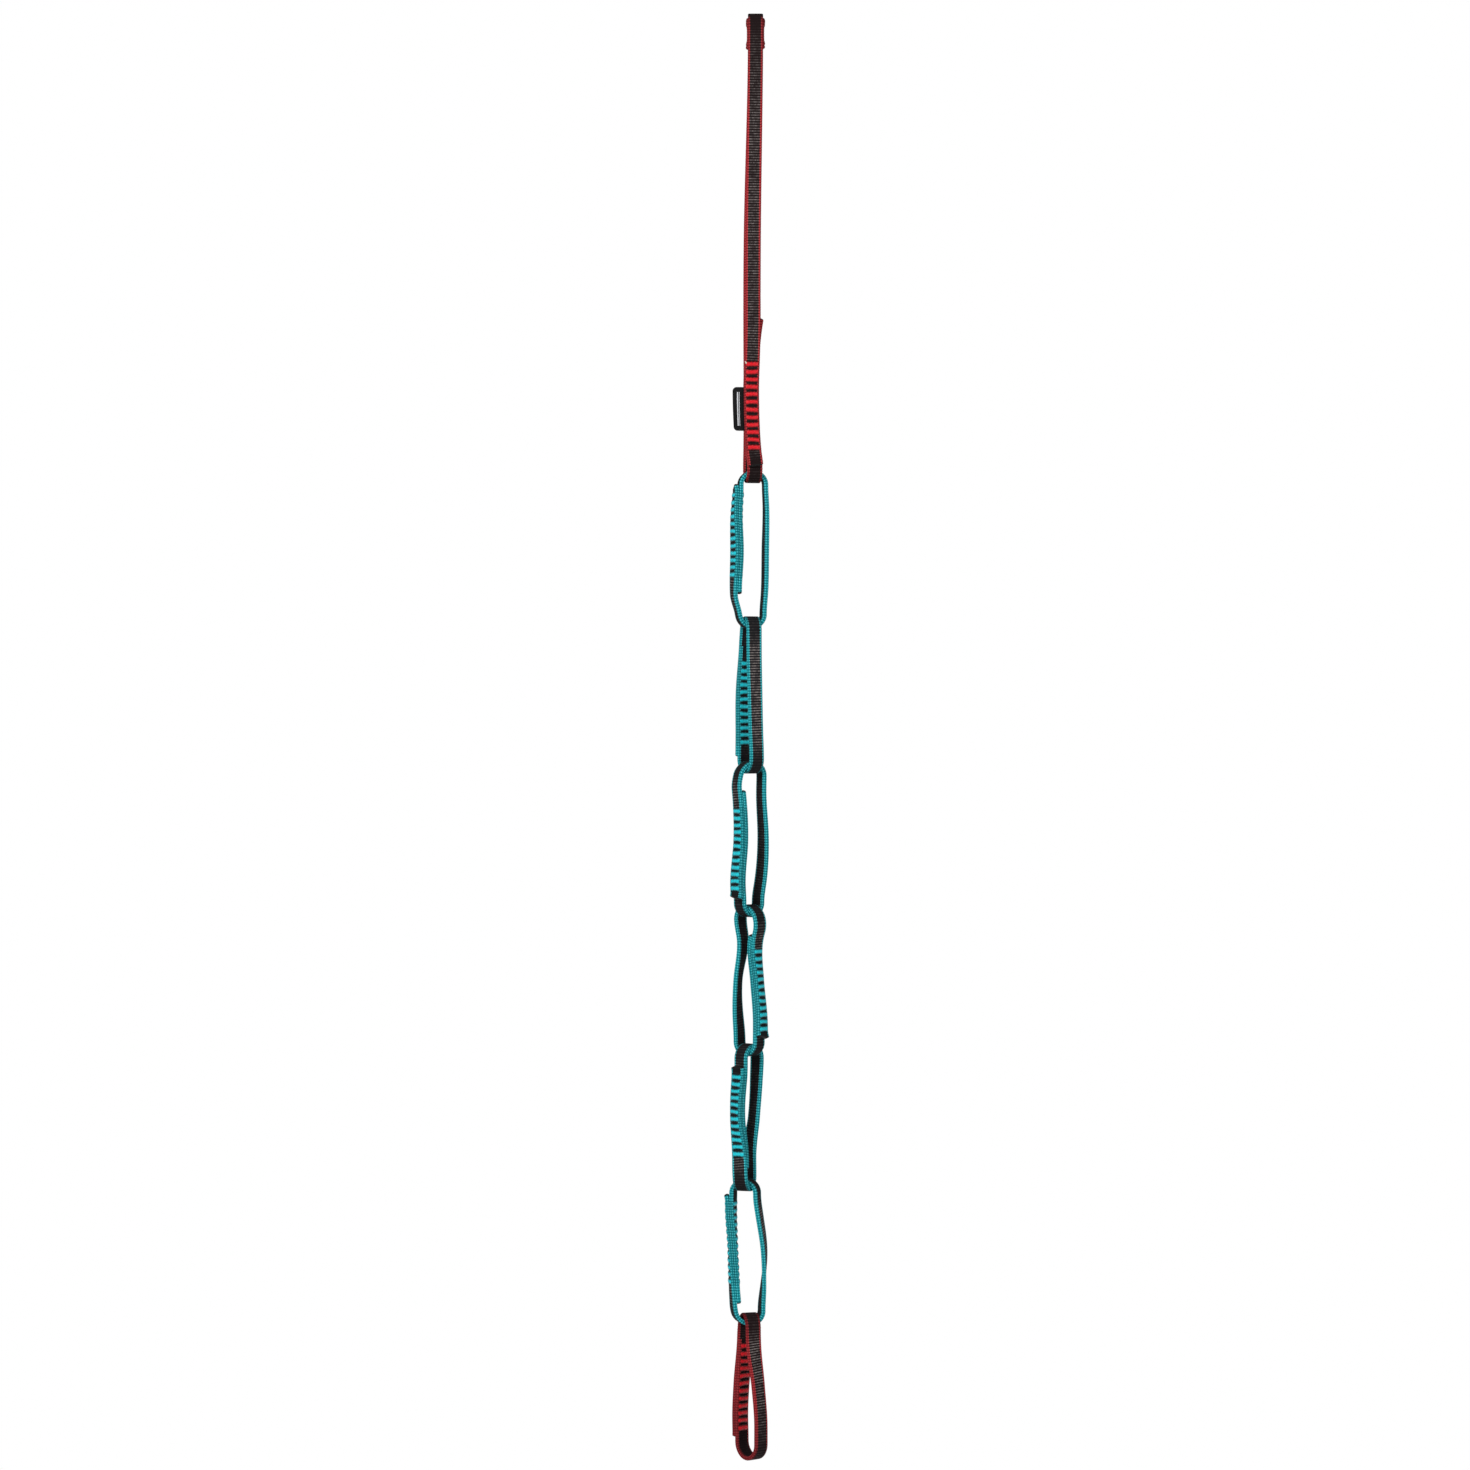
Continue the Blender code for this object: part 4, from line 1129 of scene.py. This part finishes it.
class CHAIN_OT_stage(bpy.types.Operator):
    """Set up the pale floor, the white surroundings, the soft lamps and the camera"""

    bl_idname = "chain.stage"
    bl_label = "Studio"

    def execute(self, context):
        _, colours = settings()
        low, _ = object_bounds()
        deselect_all()
        # The chain hangs, so the floor lies some way below it
        bpy.ops.mesh.primitive_plane_add(size=FLOOR_WIDTH, location=(0.0, 0.0, low[2] - FLOOR_BELOW))
        floor = take("floor")
        bpy.ops.object.transform_apply(location=True, rotation=True, scale=True)
        floor.data.materials.append(studio_paint("Matt studio paint", colours))
        floor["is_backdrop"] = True
        for lamp in LAMPS:
            add_lamp(*lamp)
        world = bpy.context.scene.world or bpy.data.worlds.new("Studio")
        bpy.context.scene.world = world
        world.use_nodes = True
        sky = world.node_tree.nodes["Background"]
        sky.inputs["Color"].default_value = WHITE
        # The camera sees the surroundings as white from every side, and they light the chain less
        seen = add(world.node_tree, "LightPath")
        level = add(world.node_tree, "MapRange", seen, 0.0, 1.0, SKY_LEVEL, 1.0)
        world.node_tree.links.new(level.outputs[0], sky.inputs["Strength"])
        deselect_all()
        place = Vector(AIM) - Vector((0.0, CAMERA_DISTANCE, 0.0))
        bpy.ops.object.camera_add(location=place, rotation=(math.pi / 2, 0.0, 0.0))
        camera = take("camera")
        camera.data.sensor_width = SENSOR_WIDTH_MM
        camera.data.lens = SENSOR_WIDTH_MM * CAMERA_DISTANCE / FRAME_HEIGHT
        bpy.context.scene.camera = camera
        bpy.context.scene.view_settings.view_transform = "Standard"
        return {"FINISHED"}


class CHAIN_PT_panel(bpy.types.Panel):
    """Buttons for the pieces of the daisy chain"""

    bl_idname = "CHAIN_PT_panel"
    bl_label = "Daisy chain"
    bl_space_type = "VIEW_3D"
    bl_region_type = "UI"
    bl_category = "Daisy chain"

    def draw(self, context):
        for made in OPERATORS:
            self.layout.operator(made.bl_idname)
        for group in (context.scene.chain_sizes, context.scene.chain_colours):
            box = self.layout.box()
            for name in group.bl_rna.properties.keys():
                if name not in ("rna_type", "name"):
                    box.prop(group, name)


OPERATORS = (
    CHAIN_OT_webbing, CHAIN_OT_tacks, CHAIN_OT_loose_end,
    CHAIN_OT_liner, CHAIN_OT_label, CHAIN_OT_stage,
)
CLASSES = (ChainSizes, ChainColours) + OPERATORS + (CHAIN_PT_panel,)


def register():
    for made in CLASSES:
        bpy.utils.register_class(made)
    bpy.types.Scene.chain_sizes = bpy.props.PointerProperty(type=ChainSizes)
    bpy.types.Scene.chain_colours = bpy.props.PointerProperty(type=ChainColours)


def unregister():
    del bpy.types.Scene.chain_colours
    del bpy.types.Scene.chain_sizes
    for made in reversed(CLASSES):
        bpy.utils.unregister_class(made)


def main():
    register()
    bpy.ops.chain.webbing()
    bpy.ops.chain.tacks()
    bpy.ops.chain.loose_end()
    bpy.ops.chain.liner()
    bpy.ops.chain.label()
    bpy.ops.chain.stage()


if __name__ == "__main__":
    main()
